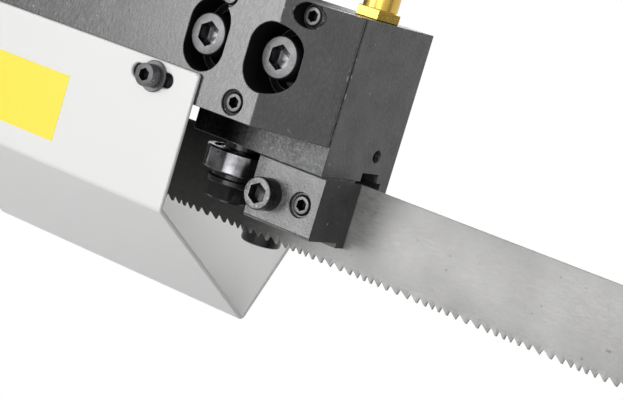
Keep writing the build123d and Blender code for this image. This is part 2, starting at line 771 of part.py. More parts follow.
# Tension carriage with the idler axle, drawn outward by a screw
tension_n = 51.0
tension_r = 6.0
tension_tap = 45.0
carriage_half = 60.0
tongue = (24.0, 18.0)
tongue_gap = 1.0
axle_n = -16.5
axle_len = 40.0
axle_head = (18.0, 4.5)
axle_head_out = 2.0
with BuildPart() as tension_carriage:
    half = carriage_half
    tilted(-wheel_x - half, -wheel_x + half, wheel_t - carriage_t, wheel_t + carriage_t, *carriage_n)
    tongue_t = (wheel_t - tongue[1], wheel_t + tongue[1])
    tilted(-wheel_x - tongue[0], -wheel_x + tongue[0], *tongue_t, web_n0 + tongue_gap, carriage_n[0])
    rod(in_wheel(-wheel_x, wheel_t, axle_n), tilt_n, axle_r, axle_len)
    rod(in_wheel(-wheel_x, wheel_t, axle_n - axle_head_out), tilt_n, *axle_head)
    tap_from = in_wheel(-wheel_x - half - lap, wheel_t, tension_n)
    rod(tap_from, right, tension_r + end_play, tension_tap, Mode.SUBTRACT)
save(tension_carriage, "tension_carriage", at_bow)

post_x = (-566.0, -542.0)
post_half = 26.0
post_over = 16.0
post_round = 3.0
with BuildPart() as tension_bracket:
    tilted(post_x[0], post_x[1], wheel_t - post_half, wheel_t + post_half, front_n, tension_n + post_over)
    fillet(tension_bracket.edges().filter_by(Axis.X).group_by(SortBy.DISTANCE)[0], post_round)
    post_from = in_wheel(post_x[0] - lap, wheel_t, tension_n)
    rod(post_from, right, tension_r + run_fit, 2 * (post_x[1] - post_x[0]), Mode.SUBTRACT)
save(tension_bracket, "tension_bracket", at_bow)

screw_past = 34.0
screw_short = 20.0
screw_end = post_x[0] - screw_past
screw_collar = (10.0, 7.0)
with BuildPart() as tension_screw:
    rod(in_wheel(screw_end, wheel_t, tension_n), right, tension_r, -screw_end - wheel_x - screw_short)
    rod(in_wheel(post_x[1] + end_play, wheel_t, tension_n), right, *screw_collar)
    rod(in_wheel(post_x[0] - end_play, wheel_t, tension_n), left, *screw_collar)
save(tension_screw, "tension_screw", at_bow)

grip_reach = 58.0
grip_r = 9.0
boss_r = 17.0
boss_len = 26.0
boss_past = 12.0
boss_bar = 5.0
grip_round = 3.5
with BuildPart() as tension_handle:
    rod(in_wheel(screw_end - boss_past, wheel_t, tension_n), right, boss_r, boss_len)
    for turn in (30, 150, 270):
        way = tuple(cos(radians(turn)) * a + sin(radians(turn)) * b for a, b in zip(tilt_t, tilt_n))
        start = in_wheel(screw_end - boss_past + boss_len / 2, wheel_t, tension_n)
        rod(along(start, way, boss_r - boss_bar), way, boss_bar, grip_reach - boss_r + boss_bar)
        rod(along(start, way, grip_reach - grip_r + lap), way, grip_r, 2 * grip_r)
    circles = tension_handle.edges().filter_by(GeomType.CIRCLE)
    fillet(circles.filter_by(lambda e: abs(e.radius - grip_r) < 0.01), grip_round)
    rod(in_wheel(screw_end, wheel_t, tension_n), right, tension_r + screw_fit, boss_len, Mode.SUBTRACT)
save(tension_handle, "tension_handle", at_bow)

# Drive: gearbox, motor, cowl and terminal box
motor_n = 104.0
motor_r = 58.0
gear_half = 72.0
gear_foot = 43.0
gear_head = 80.0
flange_t = 6.0
motor_t0 = wheel_t + gear_head + flange_t
motor_len = 150.0
motor_t1 = motor_t0 + motor_len
fin_gap = 9.0
fin_d = 7.0
fin_t = 3.2
fins = 12
gear_round = 26.0
gear_cap = 7.0
flange_in = 20.0
flange_step = 8.0
bell_step = 2.0
with BuildPart() as gearbox:
    tilted(wheel_x - gear_half, wheel_x + gear_half, wheel_t - gear_foot, wheel_t + gear_head, front_n, gear_n1)
    fillet(gearbox.edges().filter_by(lambda e: abs(e.tangent_at(0.5).dot(Vector(*tilt_n))) > 0.99), gear_round)
    rod(in_wheel(wheel_x, wheel_t, gear_n1), tilt_n, gear_half / 2, gear_cap)
    flange_from = in_wheel(wheel_x, wheel_t + gear_head - flange_in, motor_n)
    rod(flange_from, tilt_t, motor_r - flange_step, flange_in + flange_t)
    bore_len = shaft_top - front_n + lap
    rod(in_wheel(wheel_x, wheel_t, front_n), tilt_n, shaft_r + run_fit, bore_len, Mode.SUBTRACT)
save(gearbox, "gearbox", at_bow)

with BuildPart() as motor:
    rod(in_wheel(wheel_x, motor_t0, motor_n), tilt_t, motor_r - fin_d, motor_len)
    rod(in_wheel(wheel_x, motor_t0, motor_n), tilt_t, motor_r, fin_gap)
    for step in range(fins):
        rod(in_wheel(wheel_x, motor_t0 + (step + 2) * fin_gap, motor_n), tilt_t, motor_r, fin_t)
    rod(in_wheel(wheel_x, motor_t1 - fin_gap, motor_n), tilt_t, motor_r - bell_step, fin_gap)
save(motor, "motor", at_bow)

cowl_len = 42.0
cowl_round = 10.0
grille_r = (14.0, 24.0, 34.0)
grille_half = 3.0
grille_d = 5.0
with BuildPart() as motor_cowl:
    rod(in_wheel(wheel_x, motor_t1, motor_n), tilt_t, motor_r, cowl_len)
    fillet(motor_cowl.edges().filter_by(GeomType.CIRCLE).sort_by(Axis.Z)[-1], cowl_round)
    for r in grille_r:
        with BuildSketch(Plane(origin=in_wheel(wheel_x, motor_t1 + cowl_len, motor_n), z_dir=tilt_t)):
            Circle(r + grille_half)
            Circle(r - grille_half, mode=Mode.SUBTRACT)
        extrude(amount=-grille_d, mode=Mode.SUBTRACT)
save(motor_cowl, "motor_cowl", at_bow)

term_half = 42.0
term_len = 80.0
term_h = 34.0
term_sink = 14.0
term_round = 7.0
gland_up = 14.0
gland = (10.0, 15.0)
term_t = motor_t0 + motor_len / 5
motor_top = motor_n + motor_r
with BuildPart() as terminal_box:
    term_n = (motor_top - term_sink, motor_top + term_h)
    tilted(wheel_x - term_half, wheel_x + term_half, term_t, term_t + term_len, *term_n)
    upright = terminal_box.edges().filter_by(lambda e: abs(e.tangent_at(0.5).dot(Vector(*tilt_n))) > 0.99)
    fillet(upright, term_round)
    rod(in_wheel(wheel_x, motor_t0, motor_n), tilt_t, motor_r + screw_fit, motor_len, Mode.SUBTRACT)
    gland_at = in_wheel(wheel_x + term_half - lap, term_t + term_len / 2, motor_top + gland_up)
    rod(gland_at, right, *gland)
save(terminal_box, "terminal_box", at_bow)

# Brackets that hold the two guide arms
grip_x0 = -400.0
grip_x1 = -300.0
lever_x = -350.0
lever_z = 56.0
bracket_front = -59.0
bracket_gap = 4.5
bracket_t = wheel_t - gear_foot - bracket_gap
bracket_out = 62.0
bracket_top = 98.0
bracket_low = 26.0
bracket_lip = -33.0
bracket_back = (-17.0, 54.0)
bracket_round = 5.0
clamp_r = 5.0
bracket_path = (
    yz(relief_t, front_n), yz(bracket_t, front_n), yz(bracket_t, bracket_out), (bracket_front, bracket_top),
    (bracket_front, bracket_low), (bracket_lip, bracket_low),
    (bracket_lip, arm_z0 - slide_gap), (arm_front - slide_gap, arm_z0 - slide_gap),
    (arm_front - slide_gap, arm_z1 + slide_gap), (arm_back + slide_gap, arm_z1 + slide_gap),
    (arm_back + slide_gap, bracket_back[1]), bracket_back,
)
with BuildPart() as arm_bracket:
    with BuildSketch(Plane(origin=(grip_x0, 0, 0), x_dir=rear, z_dir=right)):
        with BuildLine():
            Polyline(*bracket_path, close=True)
        make_face()
    extrude(amount=grip_x1 - grip_x0)
    fillet(arm_bracket.edges().filter_by(Axis.X).group_by(Axis.Y)[0], bracket_round)
    clamp_len = arm_front - slide_gap - bracket_front + 2 * lap
    rod((lever_x, bracket_front - lap, lever_z), rear, clamp_r + run_fit, clamp_len, Mode.SUBTRACT)
save(arm_bracket, "arm_bracket", at_bow)

with BuildPart() as right_bracket:
    mirror(arm_bracket.part, about=head_mirror)
save(right_bracket, "right_bracket", at_bow)

lever_boss = 12.0
lever_boss_l = 24.0
lever_gap = 0.5
lever_in = 4.0
lever_mid = 15.0
lever_len = 62.0
lever_bar = 5.5
lever_knob = (9.0, 26.0)
knob_over = 10.0
knob_round = 2.5
lever_way = (-0.62, -0.36, 0.697)
with BuildPart() as clamp_lever:
    rod((lever_x, bracket_front - lever_gap, lever_z), front, lever_boss, lever_boss_l)
    stud_len = lever_in - bracket_front + arm_front - slide_gap - lap
    rod((lever_x, bracket_front - lever_in, lever_z), rear, clamp_r, stud_len)
    lever_root = (lever_x, bracket_front - lever_mid, lever_z)
    rod(along(lever_root, lever_way, lever_in), lever_way, lever_bar, lever_len)
    rod(along(lever_root, lever_way, lever_len - knob_over), lever_way, *lever_knob)
    circles = clamp_lever.edges().filter_by(GeomType.CIRCLE)
    fillet(circles.filter_by(lambda e: abs(e.radius - lever_knob[0]) < 0.01), knob_round)
save(clamp_lever, "clamp_lever", at_bow)

# Pull handle on the idler housing
handle_x = -500.0
handle_half = 78.0
handle_t = (wheel_t - handle_half, wheel_t + handle_half)
handle_post = (8.0, 52.0)
handle_foot = (13.0, 6.0)
handle_over = 16.0
handle_out = 56.0
handle_r = 11.0
with BuildPart() as bow_handle:
    for t in handle_t:
        rod(in_wheel(handle_x, t, front_n), tilt_n, *handle_post)
        rod(in_wheel(handle_x, t, front_n), tilt_n, *handle_foot)
    grip_from = in_wheel(handle_x, handle_t[0] - handle_over, front_n + handle_out)
    rod(grip_from, tilt_t, handle_r, 2 * handle_half + 2 * handle_over)
save(bow_handle, "bow_handle", at_bow)

# Bed casting with its chip tray
table_x = (-215.0, 205.0)
table_y = (52.0, 206.0)
rest_x = (-125.0, 125.0)
rest_rear = -66.0
rest_y = (bed_y0 + rim + lap, rest_rear)
key_w = 16.0
dash_in = 70.0
dash_x = pivot_x - dash_in
dash_y = -10.0
dash_r = 22.0
feet = [(bed_cx + sx * foot_dx / 2, bed_cy + sy * foot_dy / 2) for sx in (-1, 1) for sy in (-1, 1)]
floor_t = 14.0
foot_t = 16.0
foot_half = 26.0
foot_past = 22.0
bed_round = 24.0
rest_hole = (105.0, 126.0)
rod_r = 7.0
with BuildPart() as bed:
    block(bed_x0, bed_x1, bed_y0, bed_y1, 0, bed_top)
    fillet(bed.edges().filter_by(Axis.Z), bed_round)
    for x, y in feet:
        y0, y1 = sorted((y + (foot_past if y > bed_cy else -foot_past), bed_cy))
        block(x - foot_half, x + foot_half, y0, y1, 0, foot_t)
    block(bed_x0 + rim, bed_x1 - rim, bed_y0 + rim, bed_y1 - rim, tray_z, bed_top + lap, Mode.SUBTRACT)
    block(bed_x0 + rim, bed_x1 - rim, bed_y0 + rim, bed_y1 - rim, -lap, tray_z - floor_t, Mode.SUBTRACT)
    for x, y in feet:
        rod((x, y, -lap), up, foot_hole_r, foot_t + 2 * lap, Mode.SUBTRACT)
    rod((dash_x, dash_y, -lap), up, dash_r + screw_fit, bed_top, Mode.SUBTRACT)
save(bed, "bed", at_bed)

# Vise table and front rest, hollow castings that stand in the tray
channel = 14.0
slot_x1 = 92.0
table_end = 15.0
with BuildPart() as vise_table:
    block(*table_x, *table_y, tray_z, table_top)
    run_x = (table_x[0] + table_end, slot_x1)
    block(*run_x, screw_y - channel, screw_y + channel, screw_z - channel, screw_z + channel, Mode.SUBTRACT)
    block(*run_x, screw_y - key_w / 2, screw_y + key_w / 2, screw_z, table_top + lap, Mode.SUBTRACT)
    rod((table_x[0] - lap, screw_y, screw_z), right, screw_r + run_fit, table_end + 2 * lap, Mode.SUBTRACT)
    for y0, y1 in ((table_y[0] + rim, screw_y - channel - rim), (screw_y + channel + rim, table_y[1] - rim)):
        block(table_x[0] + rim, table_x[1] - rim, y0, y1, tray_z - lap, table_top - rim, Mode.SUBTRACT)
save(vise_table, "vise_table", at_bed)

recess = 6.0
rest_solid = 24.0
recess_in = 18.0
recess_low = 26.0
recess_top = 12.0
rod_in = 30.0
with BuildPart() as front_rest:
    block(*rest_x, *rest_y, tray_z, table_top)
    core_x = (rest_x[0] + rim, rest_x[1] - rim - rest_solid)
    core_y = (rest_y[0] + rim + recess, rest_y[1] - rim)
    block(*core_x, *core_y, tray_z - lap, table_top - rim, Mode.SUBTRACT)
    panel_x = (rest_x[0] + recess_in, rest_x[1] - recess_in)
    panel_z = (tray_z + recess_low, table_top - recess_top)
    block(*panel_x, rest_y[0] - lap, rest_y[0] + recess, *panel_z, Mode.SUBTRACT)
    rod((rest_hole[0], rest_y[0] - lap, rest_hole[1]), rear, rod_r + screw_fit, rod_in + lap, Mode.SUBTRACT)
save(front_rest, "front_rest", at_bed)

# Pivot bracket and shaft
ear = 20.0
ear_gap = 1.0
ear_half = 26.0
plate_half = 40.0
plate_t = 12.0
shaft_past = 7.0
shaft_break = 1.5
ear_y0 = hub_y[0] - ear - ear_gap
ear_y1 = hub_y[1] + ear + ear_gap
with BuildPart() as pivot_bracket:
    block(pivot_x - plate_half, pivot_x + plate_half, ear_y0, ear_y1, tray_z, tray_z + plate_t)
    for y0 in (ear_y0, hub_y[1] + ear_gap):
        block(pivot_x - ear_half, pivot_x + ear_half, y0, y0 + ear, tray_z, pivot_z)
        rod((pivot_x, y0, pivot_z), rear, ear_half, ear)
    rod((pivot_x, ear_y0 - lap, pivot_z), rear, pin_r + screw_fit, ear_y1 - ear_y0 + 2 * lap, Mode.SUBTRACT)
save(pivot_bracket, "pivot_bracket", at_bed)

with BuildPart() as pivot_shaft:
    shaft_y0 = hub_y[0] - ear - shaft_past
    shaft_y1 = hub_y[1] + ear + shaft_past
    rod((pivot_x, shaft_y0, pivot_z), rear, pin_r, shaft_y1 - shaft_y0)
    chamfer(pivot_shaft.edges().filter_by(GeomType.CIRCLE), shaft_break)
save(pivot_shaft, "pivot_shaft", at_bed)

# Vise
jaw_face_x = 100.0
open_face_x = -100.0
jaw_t = 22.0
jaw_foot = 70.0
jaw_foot_h = 20.0
jaw_foot_in = 20.0
rib_in = (36.0, 50.0)
rib_foot = 66.0
rib_drop = 12.0
rib_t = 14.0
hold_down_x = 48.0
hold_down = (10.0, 9.0)
with BuildPart() as fixed_jaw:
    back_x = jaw_face_x + jaw_t
    foot_top = table_top + jaw_foot_h
    block(jaw_face_x, back_x, vise_y0, vise_y1, table_top, table_top + vise_h)
    block(back_x, jaw_face_x + jaw_foot, vise_y0 + jaw_foot_in, vise_y1 - jaw_foot_in, table_top, foot_top)
    for y in (vise_y0 + rib_in[0], vise_y1 - rib_in[1]):
        with BuildSketch(Plane(origin=(0, y, 0), x_dir=right, z_dir=front)):
            with BuildLine():
                Polyline(
                    (back_x, foot_top), (jaw_face_x + rib_foot, foot_top),
                    (back_x, table_top + vise_h - rib_drop), close=True,
                )
            make_face()
        extrude(amount=-rib_t)
    rod((jaw_face_x + hold_down_x, (vise_y0 + vise_y1) / 2, foot_top), up, *hold_down)
save(fixed_jaw, "fixed_jaw", at_bed)

slide_foot = 66.0
slide_foot_h = 22.0
slide_rib = 62.0
key_x = (60.0, 20.0)
nut_half = 12.0
with BuildPart() as vise_jaw:
    lift = table_top + slide_gap
    back_x = open_face_x - jaw_t
    foot_top = lift + slide_foot_h
    block(back_x, open_face_x, vise_y0, vise_y1, lift, table_top + vise_h)
    block(open_face_x - slide_foot, back_x, vise_y0 + jaw_foot_in, vise_y1 - jaw_foot_in, lift, foot_top)
    for y in (vise_y0 + rib_in[0], vise_y1 - rib_in[1]):
        with BuildSketch(Plane(origin=(0, y, 0), x_dir=right, z_dir=front)):
            with BuildLine():
                Polyline(
                    (back_x, foot_top), (open_face_x - slide_rib, foot_top),
                    (back_x, table_top + vise_h - rib_drop), close=True,
                )
            make_face()
        extrude(amount=-rib_t)
    key_half = key_w / 2 - slide_gap
    key_run = (open_face_x - key_x[0], open_face_x - key_x[1])
    block(*key_run, screw_y - key_half, screw_y + key_half, screw_z, lift)
    block(*key_run, screw_y - nut_half, screw_y + nut_half, screw_z - nut_half, screw_z + nut_half)
    rod((open_face_x - slide_foot, screw_y, screw_z), right, screw_r + end_play, slide_foot, Mode.SUBTRACT)
save(vise_jaw, "vise_jaw", at_bed)

wheel_at = -402.0
wheel_past = 14.0
screw_tip = 80.0
thrust = (14.0, 10.0)
inner_collar = (11.0, 6.0)
with BuildPart() as vise_screw:
    rod((wheel_at - wheel_past, screw_y, screw_z), right, screw_r, screw_tip - wheel_at + wheel_past)
    rod((table_x[0] - end_play, screw_y, screw_z), left, *thrust)
    rod((table_x[0] + table_end + end_play, screw_y, screw_z), right, *inner_collar)
save(vise_screw, "vise_screw", at_bed)

hand_r = 66.0
hand_rim = (13.0, 16.0)
hand_round = 5.0
hand_hub = (19.0, 28.0)
hub_back = 12.0
hand_spoke = 5.5
spoke_short = 15.0
crank_pin = (5.0, 15.0)
crank_pin_off = 3.0
crank = (10.0, 56.0)
crank_off = 14.0
with BuildPart() as vise_handwheel:
    with BuildSketch(Plane(origin=(wheel_at, screw_y, screw_z), x_dir=up, z_dir=front)):
        with Locations((hand_r, 0)):
            RectangleRounded(*hand_rim, hand_round)
    revolve(axis=Axis((wheel_at, screw_y, screw_z), right))
    rod((wheel_at - hub_back, screw_y, screw_z), right, *hand_hub)
    for turn in (60, 180, 300):
        way = (0, cos(radians(turn)), sin(radians(turn)))
        rod(along((wheel_at, screw_y, screw_z), way, hub_back), way, hand_spoke, hand_r - spoke_short)
    rod((wheel_at - crank_pin_off, screw_y, screw_z + hand_r), left, *crank_pin)
    rod((wheel_at - crank_off, screw_y, screw_z + hand_r), left, *crank)
    rod((wheel_at - hand_hub[1], screw_y, screw_z), right, screw_r + screw_fit, 2 * hand_hub[1], Mode.SUBTRACT)
save(vise_handwheel, "vise_handwheel", at_bed)

# Hydraulic down-feed post
piston_r = 8.0
piston_gap = 0.6
piston_len = 87.0
dash_top = 92.0
dash_low = 4.0
dash_floor = 7.0
dash_flange = (8.0, 8.0)
valve_z = 76.0
valve = (9.0, 16.0)
valve_in = 4.0
stem_r = 3.0
stem_d = 10.0
rise = radians(raise_deg)
piston_z = pivot_z + (pivot_x - dash_x) * sin(rise) / cos(rise) - (piston_r + piston_gap) / cos(rise)
with BuildPart() as dashpot:
    rod((dash_x, dash_y, dash_low), up, dash_r, dash_top - dash_low)
    rod((dash_x, dash_y, tray_z), up, dash_r + dash_flange[0], dash_flange[1])
    rod((dash_x, dash_y - dash_r + valve_in, valve_z), front, *valve)
    rod((dash_x, dash_y, dash_floor), up, piston_r + end_play, dash_top, Mode.SUBTRACT)
    stem_y = dash_y - dash_r + valve_in - valve[1] - lap
    rod((dash_x, stem_y, valve_z), rear, stem_r + run_fit, stem_d, Mode.SUBTRACT)
save(dashpot, "dashpot", at_bed)

with BuildPart() as dash_rod:
    rod((dash_x, dash_y, piston_z - piston_len), up, piston_r, piston_len)
    with Locations((dash_x, dash_y, piston_z)):
        Sphere(piston_r)
save(dash_rod, "dash_rod", at_bed)

knob_y = dash_y - dash_r + valve_in - valve[1] - end_play
knob = (13.0, 14.0)
knob_stem = 8.0
scallop_at = 13.5
scallop_r = 2.2
with BuildPart() as flow_knob:
    rod((dash_x, knob_y, valve_z), front, *knob)
    rod((dash_x, knob_y, valve_z), rear, stem_r, knob_stem)
    for turn in range(0, 360, 45):
        over, rise_z = scallop_at * cos(radians(turn)), scallop_at * sin(radians(turn))
        rod((dash_x + over, knob_y + lap, valve_z + rise_z), front, scallop_r, 2 * knob[1], Mode.SUBTRACT)
save(flow_knob, "flow_knob", at_bed)

# Length stop
stop_reach = 250.0
stop_y = -288.0
collar_half = 12.0
blade_half = 4.0
flag_h = 36.0
flag_l = 95.0
flag_up = 19.0
stop_half = 16.0
stop_low = 15.0
stop_pad = (8.0, 10.0)
stop_pad_x = 80.0
thumb_bar = (4.0, 8.0)
thumb_x = 22.0
thumb_l = 12.0
rod_break = 1.0
with BuildPart() as stop_rod:
    rod((rest_hole[0], rest_y[0] + rod_in, rest_hole[1]), front, rod_r, stop_reach)
    chamfer(stop_rod.edges().filter_by(GeomType.CIRCLE), rod_break)
save(stop_rod, "stop_rod", at_bed)

with BuildPart() as stop_arm:
    x, z = rest_hole
    top = z + rod_r + flag_up
    block(x - stop_half, x + stop_half, stop_y - collar_half, stop_y + collar_half, z - stop_low, top)
    block(x - flag_l, x + stop_half, stop_y - blade_half, stop_y + blade_half, top, top + flag_h)
    rod((x - stop_pad_x, stop_y + blade_half, top + flag_h / 2), rear, *stop_pad)
    rod((x + stop_half, stop_y, z), right, *thumb_bar)
    rod((x + thumb_x, stop_y, z), right, collar_half, thumb_l)
    rod((x, stop_y - 2 * collar_half, z), rear, rod_r + end_play, 4 * collar_half, Mode.SUBTRACT)
save(stop_arm, "stop_arm", at_bed)

# Control box and its two buttons
box_x = (-272.0, -176.0)
box_front = -224.0
box_y = (box_front, bed_y0)
box_z = (10.0, 130.0)
box_round = 8.0
bezel = (19.0, 3.0)
button_d = 16.0
box_gland = (11.0, 16.0)
box_gland_in = 40.0
button_x = (box_x[0] + box_x[1]) / 2
start_z = 96.0
stop_z = 50.0
start_r = 12.0
stop_r = 9.0
with BuildPart() as control_box:
    block(*box_x, *box_y, *box_z)
    fillet(control_box.edges().filter_by(Axis.Y), box_round)
    for z in (start_z, stop_z):
        rod((button_x, box_front, z), front, *bezel)
    rod((button_x, box_front - bezel[1], start_z), rear, start_r + end_play, button_d, Mode.SUBTRACT)
    rod((button_x, box_front - bezel[1], stop_z), rear, stop_r + end_play, button_d, Mode.SUBTRACT)
    rod((button_x, box_front + box_gland_in, box_z[1]), up, *box_gland)
save(control_box, "control_box", at_bed)

start_out = 7.0
start_len = 14.0
start_break = 1.0
with BuildPart() as start_button:
    rod((button_x, box_front - start_out, start_z), rear, start_r, start_len)
    chamfer(start_button.edges().filter_by(GeomType.CIRCLE).sort_by(Axis.Y)[0], start_break)
save(start_button, "start_button", at_bed)

stop_out = 12.0
stop_len = 18.0
stop_cap = (17.0, 9.0)
stop_cap_out = 19.0
stop_cap_round = 4.0
with BuildPart() as stop_button:
    rod((button_x, box_front - stop_out, stop_z), rear, stop_r, stop_len)
    rod((button_x, box_front - stop_cap_out, stop_z), rear, *stop_cap)
    fillet(stop_button.edges().filter_by(GeomType.CIRCLE).sort_by(Axis.Y)[0], stop_cap_round)
save(stop_button, "stop_button", at_bed)
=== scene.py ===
# %% [markdown]
# # A bench band saw for metal
# The saw stands on a bench with its bow raised off the work. The camera looks closely at the left
# guide head: a black steel block on a flat arm, with screws, a bearing, a folded white guard and the
# toothed blade that comes out of it. Everything is drawn in metres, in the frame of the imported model.

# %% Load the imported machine
import json
import math

import bmesh
import bpy
import numpy as np
from mathutils import Matrix, Vector

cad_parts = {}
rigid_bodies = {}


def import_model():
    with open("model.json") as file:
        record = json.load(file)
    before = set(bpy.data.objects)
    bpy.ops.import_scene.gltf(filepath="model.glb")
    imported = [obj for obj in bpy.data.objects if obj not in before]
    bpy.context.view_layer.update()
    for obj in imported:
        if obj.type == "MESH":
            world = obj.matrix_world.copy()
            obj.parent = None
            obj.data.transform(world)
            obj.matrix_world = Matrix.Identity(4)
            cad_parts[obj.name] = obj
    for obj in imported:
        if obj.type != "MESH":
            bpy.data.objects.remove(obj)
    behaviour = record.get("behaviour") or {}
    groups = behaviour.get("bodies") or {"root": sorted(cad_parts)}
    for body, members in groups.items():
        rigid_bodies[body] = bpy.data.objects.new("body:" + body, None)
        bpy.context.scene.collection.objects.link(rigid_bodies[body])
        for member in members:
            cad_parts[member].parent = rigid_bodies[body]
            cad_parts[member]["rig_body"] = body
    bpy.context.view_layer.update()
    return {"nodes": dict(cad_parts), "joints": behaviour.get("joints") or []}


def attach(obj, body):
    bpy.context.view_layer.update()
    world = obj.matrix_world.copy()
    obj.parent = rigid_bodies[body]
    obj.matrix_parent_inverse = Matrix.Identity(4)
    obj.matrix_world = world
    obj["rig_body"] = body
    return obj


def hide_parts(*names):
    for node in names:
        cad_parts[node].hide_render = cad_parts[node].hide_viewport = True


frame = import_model()
nodes = frame["nodes"]
joints = {j["name"]: j for j in frame["joints"]}
bpy.context.scene.view_settings.view_transform = "Standard"

# %% [markdown]
# ## Two frames
# The bow is drawn lying flat: x runs along the blade, y to the rear, and z goes up from the tips of
# the teeth. At rest it is raised about its pivot. One turn and one shift take a bow point to the
# machine, so every dimension below can stay a plain size in millimetres.

# %% From the bow to the machine
mm = 0.001
raised = math.radians(20.0)
pivot_in_bow = np.array((505.0, 0.0, -40.0))
pivot_in_bed = np.array((505.0, 0.0, 107.0))
pivot_at = np.array(joints["bow_pivot"]["pos_m"]) / mm
bed_shift = pivot_at - pivot_in_bed
bow_turn = np.array([
    [math.cos(raised), 0.0, math.sin(raised)],
    [0.0, 1.0, 0.0],
    [-math.sin(raised), 0.0, math.cos(raised)],
])


def from_bow(points):
    """Bow millimetres to machine metres: turn about the pivot, then move to where the pivot is."""
    return ((np.asarray(points, float) - pivot_in_bow) @ bow_turn.T + pivot_at) * mm


def to_bow(points):
    """The way back: machine metres to bow millimetres."""
    return (np.asarray(points, float) / mm - pivot_at) @ bow_turn + pivot_in_bow


def from_bed(points):
    """Bed millimetres to machine metres: only a shift, since the bed lies level."""
    return (np.asarray(points, float) + bed_shift) * mm


def bow_place(x):
    """Where a bow x lies along Object coordinates that are turned back by the raise, in metres."""
    return (x - pivot_in_bow[0] + (pivot_at @ bow_turn)[0]) * mm


# The wheels lean back from the bow: t climbs along the lean, n comes out towards the operator.
lean = math.radians(30.0)
lean_t = np.array((0.0, math.sin(lean), math.cos(lean)))
lean_n = np.array((0.0, -math.cos(lean), math.sin(lean)))
# The wheels' axles are at plus and minus wheel_x, and the blade's middle runs wheel_t from them.
blade_w, blade_t = 27.0, 0.9
wheel_x, wheel_r = 392.0, 145.0
wheel_t = wheel_r + blade_t / 2
head_x = -140.0


def leaning(x, t, n):
    """A point of the leaning wheel plane, in bow millimetres."""
    return np.array((x, 0.0, blade_w / 2)) + t * lean_t + n * lean_n


print("guide head at", np.round(from_bow((head_x, 0.0, blade_w)), 3))

# %% [markdown]
# ## The camera
# The view was worked out from the picture's own edges: a long lens, half a metre from the guide head,
# a little below it and turned to its right-hand end. Its three directions are given in the bow's frame.

# %% Camera
frame_px, lens_px = 623, 1885.64
eye = from_bow((160.24, -478.20, 91.44))
view_right = bow_turn @ np.array((0.77768, 0.55954, 0.28659))
view_up = -(bow_turn @ np.array((0.30902, 0.05677, -0.94936)))
view_back = -(bow_turn @ np.array((-0.54747, 0.82686, -0.12876)))
camera = bpy.data.objects.new("camera", bpy.data.cameras.new("camera"))
bpy.context.scene.collection.objects.link(camera)
camera.data.sensor_fit = "HORIZONTAL"
camera.data.sensor_width = 36.0
camera.data.lens = lens_px * camera.data.sensor_width / frame_px
stance = np.eye(4)
stance[:3] = np.stack([view_right, view_up, view_back, eye], 1)
camera.matrix_world = Matrix(stance.tolist())
camera.data.clip_start = 0.01
bpy.context.scene.camera = camera
print("lens", round(camera.data.lens, 2), "from", np.round(eye, 3))

# %% [markdown]
# ## Studio
# A product shot of a dark machine on white needs two things: a white surround that the camera and the
# polished metal can see, and lamps at a plain level. Light Path splits the two jobs in the world. A soft
# lamp at the front left is what the flat front faces mirror, so they turn grey, most of all towards the
# right, while the end faces stay dark. A low lamp in front lifts the slanted underside of the guard, one at
# the front right gives the end faces some tone, a small one lights the gap behind the guard, and two more
# fill the top and the rear.

# %% World and lamps
ambient = 0.34


def node(tree, kind, inputs=None, **settings):
    """Add one shader node: settings are its own options, inputs are values or sockets to link."""
    made = tree.nodes.new(kind)
    for key, value in settings.items():
        setattr(made, key, value)
    for key, value in (inputs or {}).items():
        if isinstance(value, bpy.types.NodeSocket):
            tree.links.new(value, made.inputs[key])
        else:
            made.inputs[key].default_value = value
    return made


def maths(tree, how, *values):
    """One Math node: how is ADD, MULTIPLY and so on, and the values are numbers or sockets."""
    return node(tree, "ShaderNodeMath", dict(enumerate(values)), operation=how).outputs[0]


def ramp(tree, value, start=0.0, stop=1.0, low=0.0, high=1.0, ease="LINEAR"):
    """One Map Range node: as the value goes from start to stop, the result goes from low to high."""
    return node(tree, "ShaderNodeMapRange", {
        "Value": value, "From Min": start, "From Max": stop, "To Min": low, "To Max": high},
        interpolation_type=ease).outputs[0]


world = bpy.data.worlds.new("studio")
bpy.context.scene.world = world
world.use_nodes = True
sky = world.node_tree
sky.nodes.clear()
path = node(sky, "ShaderNodeLightPath").outputs
seen = maths(sky, "ADD", path["Is Camera Ray"], path["Is Glossy Ray"])
seen = maths(sky, "MAXIMUM", seen, path["Is Transmission Ray"])
level = ramp(sky, seen, low=ambient)
white = node(sky, "ShaderNodeBackground", {"Color": (1, 1, 1, 1), "Strength": level})
node(sky, "ShaderNodeOutputWorld", {"Surface": white.outputs[0]})


def lamp(name, place, aim, width, height, radiance):
    """Soft rectangular lamp. Its power is radiance x area x pi, so a level stays when its size changes."""
    light = bpy.data.lights.new(name, "AREA")
    light.shape = "RECTANGLE"
    light.size, light.size_y = width, height
    light.energy = radiance * width * height * math.pi
    made = bpy.data.objects.new(name, light)
    made.location = place
    made.rotation_euler = (Vector(aim) - Vector(place)).to_track_quat("-Z", "Y").to_euler()
    made.visible_camera = False
    bpy.context.scene.collection.objects.link(made)
    return name


